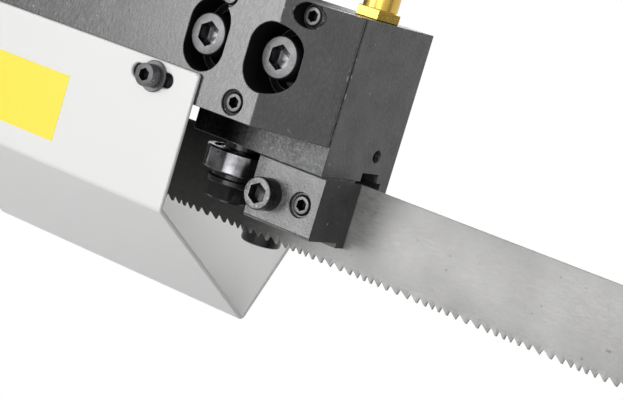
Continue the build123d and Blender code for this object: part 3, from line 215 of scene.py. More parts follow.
head_at = from_bow((head_x - 30.0, -20.0, 35.0))
gap_at, gap_aim = from_bow((-212.0, 15.0, 56.0)), from_bow((-200.0, 25.0, -8.0))
lamps = [
    lamp("key_lamp", head_at + (-0.75, -1.61, 0.40), head_at, 0.85, 0.90, 5.4),
    lamp("low_lamp", head_at + (0.28, -1.28, -0.24), head_at, 1.2, 0.25, 2.4),
    lamp("side_lamp", head_at + (0.45, -1.20, 0.10), head_at, 0.7, 0.7, 1.5),
    lamp("gap_lamp", gap_at, gap_aim, 0.06, 0.025, 6.2),
    lamp("top_lamp", (0.2, 0.3, 2.4), (0, 0, 0.3), 1.6, 1.2, 1.6),
    lamp("back_lamp", (-0.6, 2.0, 1.5), (0, 0.1, 0.35), 1.6, 1.2, 1.8),
]
print("lamps", lamps)

# %% [markdown]
# ## Floor
# The saw stands on a pale bench top. Near the machine it is an ordinary pale surface that takes the
# shadow. Further out it fades to the same white as the world, so no edge or horizon shows.

# %% Floor
floor_r, floor_z, fade_in, fade_out, near_glow = 4.0, -0.0005, 0.62, 1.4, 0.45
rings, spokes = 12, 72
r = np.linspace(0.05, floor_r, rings)[:, None]
a = np.linspace(0, 2 * np.pi, spokes, endpoint=False)[None, :]
disc = np.stack([r * np.cos(a), r * np.sin(a), np.full_like(r * a, floor_z)], -1).reshape(-1, 3)
i, j = np.meshgrid(np.arange(rings - 1), np.arange(spokes), indexing="ij")
k = (j + 1) % spokes
strips = np.stack([i * spokes + j, (i + 1) * spokes + j, (i + 1) * spokes + k, i * spokes + k], -1)
floor_mesh = bpy.data.meshes.new("floor")
floor_mesh.from_pydata(disc.tolist(), [], strips.reshape(-1, 4).tolist() + [list(range(spokes))])
floor = bpy.data.objects.new("floor", floor_mesh)
bpy.context.scene.collection.objects.link(floor)
floor_look = bpy.data.materials.new("floor_pale")
floor_look.use_nodes = True
tree = floor_look.node_tree
tree.nodes.clear()
place = node(tree, "ShaderNodeTexCoord").outputs["Object"]
far = node(tree, "ShaderNodeVectorMath", {0: place}, operation="LENGTH").outputs["Value"]
fade = ramp(tree, far, fade_in, fade_out, near_glow, ease="SMOOTHSTEP")
pale = node(tree, "ShaderNodeBsdfDiffuse", {"Color": (0.86, 0.86, 0.86, 1)})
glow = node(tree, "ShaderNodeEmission", {"Color": (1, 1, 1, 1), "Strength": 1.0})
path = node(tree, "ShaderNodeLightPath").outputs
looked = maths(tree, "ADD", path["Is Camera Ray"], path["Is Glossy Ray"])
glow_share = maths(tree, "MULTIPLY", fade, looked)
mixed = node(tree, "ShaderNodeMixShader", {0: glow_share, 1: pale.outputs[0], 2: glow.outputs[0]})
node(tree, "ShaderNodeOutputMaterial", {"Surface": mixed.outputs[0]})
floor_mesh.materials.append(floor_look)
print("floor", len(floor_mesh.polygons), "faces")

# %% [markdown]
# ## Shared surface effects
# Paint, black oxide and ground steel all vary in the same few ways: a slow cloudy tone, a fine grain
# that may run along one direction, and scattered flecks. Each is one shader group with named sockets,
# placed in every finish with its own values.

# %% Effect groups


def effect(name, inputs, outputs):
    """Empty shader group with the given sockets; returns its tree, its inputs and its output node."""
    tree = bpy.data.node_groups.new(name, "ShaderNodeTree")
    for label, kind in inputs:
        tree.interface.new_socket(name=label, in_out="INPUT", socket_type="NodeSocket" + kind)
    for label, kind in outputs:
        tree.interface.new_socket(name=label, in_out="OUTPUT", socket_type="NodeSocket" + kind)
    return tree, node(tree, "NodeGroupInput").outputs, node(tree, "NodeGroupOutput")


def laid(tree, share, under, over, blend="MIX"):
    """One Mix node for colours: over is laid on under by a share from 0 to 1."""
    return node(tree, "ShaderNodeMix", {0: share, 6: under, 7: over},
                data_type="RGBA", blend_type=blend).outputs[2]


# Cloudy tone: colour x (1 - amount ... 1 + amount), by a soft noise of the given scale.
cloud, given, out = effect(
    "cloudy_tone", [("Vector", "Vector"), ("Colour", "Color"), ("Scale", "Float"), ("Amount", "Float")],
    [("Colour", "Color")])
soft = node(cloud, "ShaderNodeTexNoise", {"Vector": given["Vector"], "Scale": given["Scale"], "Detail": 4.0})
swing = ramp(cloud, soft.outputs[0], 0.3, 0.7, -1.0)
gain = maths(cloud, "MULTIPLY_ADD", swing, given["Amount"], 1.0)
cloud.links.new(laid(cloud, 1.0, given["Colour"], gain, "MULTIPLY"), out.inputs[0])

# Grain: noise on coordinates that are stretched along one direction, 0 to 1.
grain, given, out = effect(
    "fine_grain", [("Vector", "Vector"), ("Stretch", "Vector"), ("Scale", "Float")], [("Value", "Float")])
drawn = node(grain, "ShaderNodeVectorMath", {0: given["Vector"], 1: given["Stretch"]}, operation="MULTIPLY")
fine = node(grain, "ShaderNodeTexNoise", {"Vector": drawn.outputs[0], "Scale": given["Scale"], "Detail": 3.0})
grain.links.new(ramp(grain, fine.outputs[0], 0.25, 0.75), out.inputs[0])

# Flecks: the highest share of a fine noise, as a mask with soft edges.
fleck, given, out = effect(
    "light_flecks", [("Vector", "Vector"), ("Scale", "Float"), ("Share", "Float")], [("Mask", "Float")])
dots = node(fleck, "ShaderNodeTexNoise", {"Vector": given["Vector"], "Scale": given["Scale"], "Detail": 1.0})
fleck_from = maths(fleck, "SUBTRACT", 0.78, given["Share"])
mask = ramp(fleck, dots.outputs[0], fleck_from, maths(fleck, "ADD", fleck_from, 0.05))
fleck.links.new(mask, out.inputs[0])
print("effects", [g.name for g in bpy.data.node_groups])

# %% [markdown]
# ## Finishes
# A finish is a Principled shader fed by those groups. Colours are linear values, as the shader takes them.
# Sizes of grain are in features per metre, because Object coordinates are metres.

# %% One function for every finish
finishes = {}
along_bow = (0.0, -raised, 0.0)


def finish(name, colour, rough, metal=0.0, cloudy=(14.0, 0.05), grained=(900.0, (1, 1, 1)), relief=8e-6,
           rough_swing=0.08, flecks=None, shine=0.5, turned=None, reads=None, tone=0.0, painted_shade=None,
           shade_share=0.18):
    """Colour = colour x cloudy tone x (1 + tone x grain), then flecks; roughness = rough + rough_swing x
    grain; the grain lifts the surface by relief metres. The grain here goes from -1 to 1. cloudy is a scale
    and an amount, grained a scale and a stretch, flecks a colour, a scale and a share. turned turns the
    pattern. reads names a mesh attribute to use in place of Object coordinates. film names one that says
    where shade is painted on, or gives a direction and the two places along it where the painted shade starts
    and is full. Under full painted shade the colour is shade_share of what it was and the metal rises to 1."""
    look = bpy.data.materials.new(name)
    look.use_nodes = True
    tree = look.node_tree
    skin = tree.nodes["Principled BSDF"].inputs
    skin["Metallic"].default_value = metal
    skin["Specular IOR Level"].default_value = shine
    if reads:
        spot = node(tree, "ShaderNodeAttribute", attribute_name=reads).outputs["Vector"]
    else:
        spot = node(tree, "ShaderNodeTexCoord").outputs["Object"]
    if turned:
        spot = node(tree, "ShaderNodeMapping", {"Vector": spot, "Rotation": turned}).outputs[0]
    shade = node(tree, "ShaderNodeGroup", {
        "Vector": spot, "Colour": (*colour, 1.0), "Scale": cloudy[0], "Amount": cloudy[1]},
        node_tree=cloud).outputs[0]
    lines = node(tree, "ShaderNodeGroup", {
        "Vector": spot, "Scale": grained[0], "Stretch": grained[1]}, node_tree=grain).outputs[0]
    if tone:
        shade = laid(tree, 1.0, shade, ramp(tree, lines, low=1.0 - tone, high=1.0 + tone), "MULTIPLY")
    if flecks:
        bright, scale, share = flecks
        dots = node(tree, "ShaderNodeGroup", {
            "Vector": spot, "Scale": scale, "Share": share}, node_tree=fleck).outputs[0]
        shade = laid(tree, dots, shade, (*bright, 1.0))
    # Painted shade: the colour is multiplied down and the metal raised, so the spot renders dark as if in
    # shade.
    if painted_shade:
        if isinstance(painted_shade, str):
            shade_amount = node(tree, "ShaderNodeAttribute", attribute_name=painted_shade).outputs["Fac"]
        else:
            way, none, full = painted_shade
            reach = node(tree, "ShaderNodeVectorMath", {0: spot, 1: way}, operation="DOT_PRODUCT")
            shade_amount = ramp(tree, reach.outputs["Value"], none, full, ease="SMOOTHSTEP")
        shade = laid(tree, shade_amount, shade, (shade_share, shade_share, shade_share, 1.0), "MULTIPLY")
        tree.links.new(ramp(tree, shade_amount, low=metal), skin["Metallic"])
    tree.links.new(shade, skin["Base Color"])
    tree.links.new(ramp(tree, lines, low=rough - rough_swing, high=rough + rough_swing), skin["Roughness"])
    lift = node(tree, "ShaderNodeBump", {"Strength": 1.0, "Distance": relief, "Height": lines})
    tree.links.new(lift.outputs[0], skin["Normal"])
    finishes[name] = look
    return look


print("finish() ready")

# %% [markdown]
# ## Shells by rings
# Screws, bearings, fittings and knobs are all stacks of rings about an axis. A ring can be round or
# six-sided, so one grid of radii makes a hexagon head, a round head with a hexagon socket, or a thread.
# The grid is turned to faces with index arithmetic, and both ends are closed. A shell is its points, its
# faces and, where it has more than one finish, a number for each face that picks one.

# %% Rings to closed shells
sides, crease_at = 48, 32.0


def ring_faces(rows, count, wrap):
    """Faces of a rows x count grid, as the corners of all of them in one row and how many each of them has:
    quads between neighbouring rings. wrap joins the last ring to the first, and without it a flat face
    closes each end."""
    i, j = np.meshgrid(np.arange(rows if wrap else rows - 1), np.arange(count), indexing="ij")
    up, on = (i + 1) % rows, (j + 1) % count
    quads = np.stack([i * count + j, i * count + on, up * count + on, up * count + j], -1).ravel()
    sizes = np.full(i.size, 4)
    if wrap:
        return quads, sizes
    first, last = np.arange(count)[::-1], np.arange((rows - 1) * count, rows * count)
    return np.concatenate([quads, first, last]), np.concatenate([sizes, (count, count)])


def axes(way, across=(0.0, 0.0, 1.0)):
    """Three unit directions with the third along way and the first as near across as it can be."""
    w = np.array(way, float) / np.linalg.norm(way)
    a = np.array(across, float)
    a = a if np.linalg.norm(np.cross(a, w)) > 0.05 else np.array((1.0, 0.0, 0.0))
    u = a - w * (a @ w)
    u = u / np.linalg.norm(u)
    return u, np.cross(w, u), w


def stack(rows, at, way, wrap=False, spin=0.0, count=sides, across=(0.0, 0.0, 1.0)):
    """Rings (height, radius, corners) about the line from at along way. corners 0 is round; 6 is a hexagon
    with its flats at the radius: r / cos(angle from the nearest flat)."""
    rows = np.array([(*row, 0)[:3] for row in rows], float)
    a = np.linspace(0, 2 * np.pi, count, endpoint=False)[None, :]
    corners = rows[:, 2:3]
    step = 2 * np.pi / np.where(corners > 0, corners, 1)
    off = np.mod(a, step) - step / 2
    r = rows[:, 1:2] / np.where(corners > 0, np.cos(np.where(corners > 0, off, 0.0)), 1.0)
    return around(r, np.broadcast_to(rows[:, :1], r.shape), at, way, wrap, spin, across)


def around(r, h, at, way, wrap=False, spin=0.0, across=(0.0, 0.0, 1.0)):
    """Shell from grids of radius and height: at + r cos(a) u + r sin(a) v + h w."""
    u, v, w = axes(way, across)
    a = np.linspace(0, 2 * np.pi, r.shape[1], endpoint=False)[None, :] + spin
    points = (r * np.cos(a))[..., None] * u + (r * np.sin(a))[..., None] * v + h[..., None] * w
    return points.reshape(-1, 3) + np.array(at, float), ring_faces(*r.shape, wrap)


def thread(radius, pitch, depth, length, at, way, count=24, per=6):
    """Screw thread: the radius dips by depth once per pitch, along a helix: it is radius less
    depth x (1 - |2 frac(h / pitch - a / 2 pi) - 1|), and the thread runs out at both ends."""
    rows = int(round(length / pitch * per)) + 1
    h = np.linspace(0, length, rows)[:, None] + np.zeros((1, count))
    a = np.linspace(0, 1, count, endpoint=False)[None, :]
    wave = np.abs(2 * np.mod(h / pitch - a, 1.0) - 1)
    ends = np.clip(np.minimum(h, length - h) / pitch, 0, 1)
    return around(radius - depth * (1 - ends * wave), h, at, way)


def piece(name, shells, body, look, stands_for=(), frame_of=from_bow, crease=crease_at):
    """One object from several closed shells in millimetres. Normals are turned outward and edges sharper than
    crease degrees stay sharp. stands_for are the CAD nodes that it takes the place of."""
    points = frame_of(np.concatenate([shell[0] for shell in shells]))
    shifts = np.cumsum([0] + [len(shell[0]) for shell in shells[:-1]])
    corners = np.concatenate([shell[1][0] + shift for shell, shift in zip(shells, shifts)])
    sizes = np.concatenate([shell[1][1] for shell in shells])
    picks = np.concatenate([shell[2] if len(shell) > 2 else 0 * shell[1][1] for shell in shells])
    mesh = bpy.data.meshes.new(name)
    mesh.vertices.add(len(points))
    mesh.vertices.foreach_set("co", points.astype(np.float32).ravel())
    mesh.loops.add(len(corners))
    mesh.loops.foreach_set("vertex_index", corners.astype(np.int32))
    mesh.polygons.add(len(sizes))
    mesh.polygons.foreach_set("loop_start", (np.cumsum(sizes) - sizes).astype(np.int32))
    mesh.update(calc_edges=True)
    return dress(name, mesh, body, look, stands_for, crease, picks)


def dress(name, mesh, body, look, stands_for=(), crease=crease_at, picks=None):
    """Turn normals outward, shade smooth with sharp creases, give the finish, and ride on the body."""
    work = bmesh.new()
    work.from_mesh(mesh)
    bmesh.ops.recalc_face_normals(work, faces=work.faces)
    work.to_mesh(mesh)
    work.free()
    mesh.shade_smooth()
    mesh.set_sharp_from_angle(angle=math.radians(crease))
    for one in (look if isinstance(look, (list, tuple)) else [look]):
        mesh.materials.append(one)
    if picks is not None:
        mesh.polygons.foreach_set("material_index", np.asarray(picks, np.int32))
    made = bpy.data.objects.new(name, mesh)
    bpy.context.scene.collection.objects.link(made)
    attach(made, body)
    if stands_for:
        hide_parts(*stands_for)
    return made


def stand_in(part, shells, look, frame_of=from_bow, crease=crease_at):
    """A piece made in place of one CAD part, on the same body."""
    piece(part + "_made", shells, nodes[part]["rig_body"], look, (part,), frame_of, crease)


test_ring = stack([(0, 1), (1, 1)], (0, 0, 0), (0, 0, 1))
print("two rings give", len(test_ring[0]), "points and", len(test_ring[1][1]), "faces")

# %% [markdown]
# ## Eased castings and blocks
# The CAD parts have knife edges. Real ones are broken by a file or rounded by the mould, and the black
# finish rubs through along them. A copy of the part's own mesh is welded, its flat facets are joined, and
# a Bevel modifier rounds each edge. The strip it makes takes a second finish, the worn edge; on the black
# steel its light flecks are partly wear and partly painted glints.

# %% A function that eases a part's edges
weld_gap, facet_angle = 2e-6, 0.6


def eased(part, width, look, worn=None, segments=2, limit=28.0, third=None, where=None):
    """Copy of a CAD part with every edge sharper than limit degrees rounded by width millimetres. where takes
    the centres (metres) and normals of the faces and says which of them get the third finish. Without the
    clamp, one short edge doesn't thin the rounding of the whole part."""
    source = nodes[part]
    mesh = source.data.copy()
    mesh.materials.clear()
    for layer in [a.name for a in mesh.attributes if a.name == "custom_normal"]:
        mesh.attributes.remove(mesh.attributes[layer])
    work = bmesh.new()
    work.from_mesh(mesh)
    bmesh.ops.remove_doubles(work, verts=work.verts, dist=weld_gap)
    flat_to = math.radians(facet_angle)
    bmesh.ops.dissolve_limit(work, angle_limit=flat_to, verts=work.verts, edges=work.edges)
    work.to_mesh(mesh)
    work.free()
    picks = None
    if where:
        spots = np.empty(len(mesh.polygons) * 3)
        ways = np.empty(len(mesh.polygons) * 3)
        mesh.polygons.foreach_get("center", spots)
        mesh.polygons.foreach_get("normal", ways)
        picks = np.where(where(spots.reshape(-1, 3), ways.reshape(-1, 3)), 2, 0)
    looks = [look, worn or look, third or look]
    made = dress(part + "_eased", mesh, source["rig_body"], looks, (part,), picks=picks)
    soft = made.modifiers.new("eased", "BEVEL")
    soft.width = width * mm
    soft.segments = segments
    soft.limit_method = "ANGLE"
    soft.angle_limit = math.radians(limit)
    soft.harden_normals = True
    soft.use_clamp_overlap = False
    soft.material = 1
    soft.miter_outer = "MITER_ARC"
    return made


print("eased() ready for", len(nodes), "nodes")

# %% [markdown]
# ## Finishes of the guide head
# The block, the arm and the jaw are blackened steel: nearly black, but glossy enough that a face turned to
# the lamp goes grey. The ground arm is the smoothest and keeps a fine upright grain. Painted shade darkens
# the ends of the blocks that face away from each other. The jaw has a lighter copy of the black on its front,
# a painted highlight, and a darker one on its ends, painted shade. The guard is white powder coat with a fine
# orange peel. The screws are oiled black steel with brighter turned faces.

# %% Black steel and powder coat
oxide = dict(colour=(0.05, 0.051, 0.053), rough=0.44, shine=0.85, cloudy=(130.0, 0.55),
             grained=(1100.0, (1, 1, 1)), relief=5.5e-5, rough_swing=0.20, tone=0.90,
             flecks=((0.32, 0.32, 0.33), 620.0, 0.03), turned=along_bow)
black_oxide = finish("black_oxide", **oxide)
# Painted shade: each block darkens towards its outer end, where the guard shades the left one; the right
# block has the same shade mirrored.
left_shaded_oxide = finish("left_block_shaded_end", **oxide, painted_shade=((1, 0, 0), bow_place(-158.0), bow_place(-178.0)))
right_shaded_oxide = finish("right_block_shaded_end", **oxide, painted_shade=((1, 0, 0), bow_place(138.0), bow_place(158.0)))
ground_black = finish("ground_black", (0.032, 0.032, 0.034), 0.24, shine=1.0, cloudy=(110.0, 0.35),
                      grained=(1400.0, (1, 1, 0.45)), relief=9e-6, rough_swing=0.07, tone=0.55,
                      flecks=((0.34, 0.34, 0.35), 800.0, 0.015), turned=along_bow)
# The jaws: a darker copy of the black for their end faces, painted shade, and a lighter one for their fronts,
# a painted highlight.
jaw_end_shade = finish("jaw_end_painted_shade", **{**oxide, "colour": (0.028, 0.028, 0.029), "shine": 0.8})
jaw_lit_black = finish("jaw_lit_black", (0.135, 0.135, 0.137), 0.36, shine=1.0, cloudy=(150.0, 0.40),
                    grained=(1300.0, (1, 1, 1)), relief=4.0e-5, rough_swing=0.14, tone=0.70,
                    flecks=((0.40, 0.40, 0.40), 700.0, 0.05), turned=along_bow)
# Edge strip of the black steel: a little lighter, with light flecks that are partly chips of wear and partly
# painted glints along the edges.
worn_glint_edge = finish("worn_glint_edge", (0.055, 0.055, 0.056), 0.44, metal=0.1, cloudy=(300.0, 0.60), shine=0.7,
                     grained=(1500.0, (1, 1, 1)), relief=1.2e-5, rough_swing=0.12, tone=0.6,
                     flecks=((0.34, 0.34, 0.34), 420.0, 0.10), turned=along_bow)
powder_white = finish("powder_white", (0.77, 0.77, 0.76), 0.42, shine=0.5, cloudy=(9.0, 0.02),
                      grained=(1300.0, (1, 1, 1)), relief=1.2e-5, rough_swing=0.06)
print("finishes", sorted(finishes))

# %% Screws and bores
screw_steel = finish("screw_steel", (0.10, 0.10, 0.105), 0.34, metal=0.55, shine=0.8, cloudy=(160.0, 0.2),
                     grained=(2200.0, (1, 1, 1)), relief=4e-6, rough_swing=0.10, tone=0.3,
                     flecks=((0.5, 0.5, 0.5), 800.0, 0.07), turned=along_bow)
screw_face = finish("screw_face", (0.18, 0.18, 0.185), 0.42, metal=0.34, cloudy=(240.0, 0.25),
                    grained=(2000.0, (1, 1, 1)), relief=4e-6, rough_swing=0.12, tone=0.3, turned=along_bow)
worn_face = finish("worn_screw_face", (0.20, 0.20, 0.205), 0.40, metal=0.42, cloudy=(420.0, 0.5),
                   grained=(1300.0, (1, 1, 1)), relief=8e-6, rough_swing=0.12, tone=0.5,
                   flecks=((0.50, 0.50, 0.50), 700.0, 0.10), turned=along_bow)
screw_dull = finish("screw_dull", (0.10, 0.10, 0.104), 0.42, metal=0.3, cloudy=(240.0, 0.2),
                    grained=(2000.0, (1, 1, 1)), relief=4e-6, rough_swing=0.12, tone=0.25, turned=along_bow)
screw_oiled = finish("screw_oiled", (0.012, 0.012, 0.013), 0.26, cloudy=(200.0, 0.4), shine=0.35,
                     grained=(1200.0, (1, 1, 1)), relief=2e-6, rough_swing=0.08, tone=0.2, turned=along_bow)
socket_steel = finish("socket_steel", (0.13, 0.13, 0.135), 0.20, metal=1.0, cloudy=(300.0, 0.4),
                      grained=(1500.0, (1, 1, 1)), relief=3e-6, rough_swing=0.08, tone=0.3, turned=along_bow)
bolt_oiled = finish("bolt_oiled", (0.012, 0.012, 0.013), 0.20, cloudy=(90.0, 0.4), shine=0.45,
                    grained=(500.0, (1, 1, 1)), relief=1.5e-6, rough_swing=0.05, turned=along_bow)
# Near black for the insides of slots and sockets and the rims of set screws: painted shade in the recesses.
painted_shade_bore = finish("painted_shade_bore", (0.006, 0.006, 0.0065), 0.55, shine=0.12, cloudy=(120.0, 0.3),
                   grained=(1500.0, (1, 1, 1)), relief=6e-6, rough_swing=0.10, turned=along_bow)
print("finishes", len(finishes))

# %% Bearing, pads, fitting and patch
chrome = finish("bearing_chrome", (0.22, 0.22, 0.23), 0.18, metal=1.0, cloudy=(260.0, 0.45),
                grained=(420.0, (1, 1, 1)), relief=1.2e-5, rough_swing=0.10, tone=0.25,
                flecks=((0.07, 0.07, 0.07), 420.0, 0.10), turned=along_bow)
carbide = finish("carbide_grey", (0.05, 0.05, 0.052), 0.38, metal=0.2, cloudy=(90.0, 0.12),
                 grained=(2600.0, (1, 1, 1)), relief=3e-6, rough_swing=0.08, turned=along_bow)
brass = finish("turned_brass", (0.68, 0.46, 0.10), 0.28, metal=0.9, cloudy=(80.0, 0.10),
               grained=(1500.0, (1, 1, 6)), relief=3e-6, rough_swing=0.10, tone=0.12, turned=along_bow)
label_vinyl = finish("label_vinyl", (0.93, 0.78, 0.05), 0.30, shine=0.5, cloudy=(30.0, 0.02),
                     grained=(1100.0, (1, 1, 1)), relief=4e-6, rough_swing=0.05)
print("guide finishes", len(finishes))

# %% [markdown]
# ## Guide head: arm, block, jaw, pads and guard
# These stay the CAD shapes with their edges eased: a fifth of a millimetre on the ground steel, where the
# file only just broke them, and more on the folds and rims of the guard. The slots of the arms and the ends
# of the jaws take darker finishes than the faces beside them, painted shade, so those faces are picked out
# by place or by normal.

# %% Eased parts of both guide heads
mirror_x = -10.0
arm_front, arm_back, arm_bevel = -41.2, -23.6, 105.8
slots_low, slots_high, slots_in = 36.8, 75.5, 130.5
sunk_by, facing = 0.6, 0.9


def jaw_ends(spots, ways):
    """Faces of a jaw that look along the blade, which take the darker copy of the black as painted shade."""
    return np.abs(ways @ bow_turn[:, 0]) > facing


def in_slots(spots, ways):
    """Faces of an arm that lie inside its slots and screw holes: below its front face, or below the bevel,
    which runs back as far as x goes out, and in front of its back."""
    x, y, z = to_bow(spots).T
    out = np.abs(x - mirror_x)
    sunk = (y > np.maximum(arm_front, arm_bevel - out) + sunk_by) & (y < arm_back)
    return sunk & (z > slots_low) & (z < slots_high) & (out > slots_in)


edge_w, pad_edge_w, fold_w = 0.22, 0.12, 0.60
for part, look in (("guide_block", left_shaded_oxide), ("right_block", right_shaded_oxide)):
    eased(part, edge_w, look, worn_glint_edge)
for part in ("front_jaw", "right_jaw"):
    # The jaws' fronts take the lighter black, a painted highlight, and their end faces the darker one,
    # painted shade.
    eased(part, edge_w, jaw_lit_black, worn_glint_edge, third=jaw_end_shade, where=jaw_ends)
for part in ("carbide_pads", "right_pads"):
    eased(part, pad_edge_w, carbide)
for part in ("guide_arm", "right_arm"):
    # The faces inside the arms' slots and screw holes take the near black bore finish: painted shade.
    eased(part, edge_w, ground_black, worn_glint_edge, third=painted_shade_bore, where=in_slots)
eased("blade_guard", fold_w, powder_white, segments=4)

# %% [markdown]
# ## Screws
# A socket head is one stack of rings: up the shank, round the head with a small rounded rim, across the
# face, then down a hexagon to the socket's floor. The right head is the mirror image of the left one.

# %% Socket screws, set screws and washers
front, rear, up, down = (0, -1, 0), (0, 1, 0), (0, 0, 1), (0, 0, -1)
right, left = (1, 0, 0), (-1, 0, 0)
m4, m5, m6, m8, m10 = 4.0, 5.0, 6.0, 8.0, 10.0


def socket_end(face_r, flats, deep, rim):
    """Rings from a head's face to its socket: rounded rim, flat ring, broken edge, hexagon, coned floor."""
    return [(-rim, face_r), (-0.3 * rim, face_r - 0.3 * rim), (0, face_r - rim), (0, flats / 2 + 0.12, 6),
            (-0.25, flats / 2, 6), (-deep, flats / 2, 6), (-deep - 0.6, 0.4)]


def headed(rows, end, face, way, rim=0):
    """Screw from its shank rings and its socket end. The flat face takes the second finish, the walls of the
    socket take the third, and rim says which one the rounded rim takes."""
    points, faces = stack(rows + end, face, way)
    strip = np.arange(len(faces[1])) // sides - len(rows)
    return points, faces, np.select([strip > 2, strip > 1, strip > -1], [2, 1, rim], 0)


def cap_screw(face, way, d, reach=1.0, flats=0.82):
    """Socket cap screw seen from outside: the head is d long and 1.5 d + 1 across, and the shank goes on by
    reach behind it. The socket measures flats x d between its flats."""
    head = 0.75 * d + 0.5
    rows = [(-d - reach, 0.42 * d), (-d - reach + 0.08 * d, 0.5 * d), (-d, 0.5 * d),
            (-d, head - 0.2), (-d + 0.2, head)]
    return headed(rows, socket_end(head, flats * d, 0.55 * d, 0.06 * d), face, way)


def set_screw(face, way, d, reach):
    """Socket set screw seen from outside: a plain stub with a hexagon in its end."""
    rows = [(-reach, 0.42 * d), (-reach + 0.5, 0.5 * d)]
    return headed(rows, socket_end(d / 2, 0.5 * d, 0.5 * d, 0.075 * d), face, way, rim=2)


def washer(base, way, r, thick, hole, soft=0.25):
    """Flat ring with softened rims, as a closed loop of rings."""
    return stack([(0, hole), (0, r - soft), (soft, r), (thick - soft, r), (thick, r - soft), (thick, hole)],
                 base, way, wrap=True)


def mirrored(shells):
    """The same shells for the right-hand head: x goes to 2 mirror_x - x. A face that starts at first and has
    size corners is turned about: its corners are read from first + size - 1 back to first."""
    made = []
    for points, (corners, sizes), *picks in shells:
        first, size = np.repeat([np.cumsum(sizes) - sizes, sizes], sizes, axis=1)
        turned_about = corners[2 * first + size - 1 - np.arange(len(corners))]
        made.append((points * (-1, 1, 1) + (2 * mirror_x, 0, 0), (turned_about, sizes), *picks))
    return made


print("a cap screw has", len(cap_screw((0, 0, 0), up, m6)[0]), "points")

# %% Screws of both heads
arm_caps = [cap_screw((head_x - 42.1, -39.4, 57.8), front, m8, 23.1),
            cap_screw((head_x - 17.6, -35.8, 57.8), front, m8, 19.5)]
sets = [set_screw((head_x - x, y, z), front, m6, reach) for x, y, z, reach in (
    (25.3, -40.5, 41.4, 17.2), (37.5, -40.5, 70.8, 17.2),
    (11.3, -34.6, 72.0, 11.3), (6.5, -19.4, 17.4, 14.5))]
jaw_caps = [cap_screw((head_x - 18.4, -26.1, 16.9), front, m6, 15.2, 0.92),
            cap_screw((head_x - 12.5, -12.5, 8.3), down, m5, 25.0)]
two_tone = [screw_steel, screw_face, screw_oiled]
# The arm screws' heads sit in the slots: their sides, rims and shanks take painted shade, their sockets
# bright steel.
stand_in("arm_screws", arm_caps, [painted_shade_bore, screw_face, socket_steel])
# The set screws' sockets and rims take painted shade.
stand_in("set_screws", sets, [screw_steel, screw_face, painted_shade_bore])
stand_in("jaw_screws", jaw_caps, [screw_oiled, worn_face, screw_oiled])
stand_in("right_screws", mirrored(arm_caps + sets + jaw_caps), two_tone)
guard_x, guard_y, guard_z = head_x - 54.5, -42.7, 40.8
guard_fix = [washer((guard_x, guard_y, guard_z), front, 4.8, 1.0, 2.1),
             cap_screw((guard_x, guard_y - 5.0, guard_z), front, m4, 10.0)]
# The guard screw's socket takes painted shade.
stand_in("guard_screw", guard_fix, [screw_steel, screw_dull, painted_shade_bore])
print("screws", len(arm_caps + sets + jaw_caps), "per head")

# %% [markdown]
# ## Rollers and their bolts
# A ball bearing is a closed profile turned about its bolt: bore, inner ring, sunk shield, outer ring. Below
# it come two washers, then a hexagon nut at the front and a round socket head at the rear.

# %% Bearings
many, few = 96, 24
roller_x, roller_y, roller_z = head_x - 38.2, 11.75, 18.0


def bearing(y, thick=7.0):
    """Bearing profile as a loop of rings: outer ring with rounded rims and a shield sunk 0.6 below it."""
    ring = [(0, 4.05), (0, 6.0), (0.6, 6.25), (0.6, 8.75), (0, 9.0), (0, 10.5), (0.12, 10.8), (0.5, 11.0)]
    profile = ring + [(thick - h, r) for h, r in ring[::-1]]
    return stack(profile, (roller_x, y, roller_z), up, wrap=True, count=many)


def roller_bolt(y, end, spin=0.0):
    """Bolt under a roller: shank, collar above the bearing, two washers below it, and the nut or head."""
    at = (roller_x, y, 14.3)
    return [stack([(0, 4.0), (28.6, 4.0)], at, up), washer((roller_x, y, 25.3), up, 6.0, 2.6, 3.9),
            washer((roller_x, y, 16.1), up, 7.6, 1.6, 3.8), washer(at, up, 8.6, 1.8, 3.9),
            stack(end, at, down, spin=spin)]


nut = [(0, 4.4), (0, 6.5, 6), (4.6, 6.5, 6), (5.3, 6.1), (5.3, 4.2), (5.0, 3.9), (5.0, 0.4)]
round_head = [(0, 6.6), (17.6, 6.6), (18.2, 6.3), (18.5, 5.7), (18.5, 3.5),
              (18.2, 3.05, 6), (14.5, 3.0, 6), (14.1, 0.4)]
for side in ("", "right_"):
    for end, y in (("front", -roller_y), ("rear", roller_y)):
        shells = mirrored([bearing(y)]) if side else [bearing(y)]
        stand_in(side + "roller_" + end, shells, chrome, crease=25.0)
bolts = roller_bolt(-roller_y, nut, np.radians(4.0)) + roller_bolt(roller_y, round_head)
stand_in("roller_bolts", bolts, bolt_oiled)
stand_in("right_roller_bolts", mirrored(bolts), bolt_oiled)
print("rollers 4, bolts", len(bolts), "shells a side")

# %% [markdown]
# ## Coolant fitting
# A hose barb turned from hexagon bar: big hexagon, neck, small hexagon, then a tube with three barbs and a
# bore down the middle. One stack of rings goes up the outside and back down the bore.

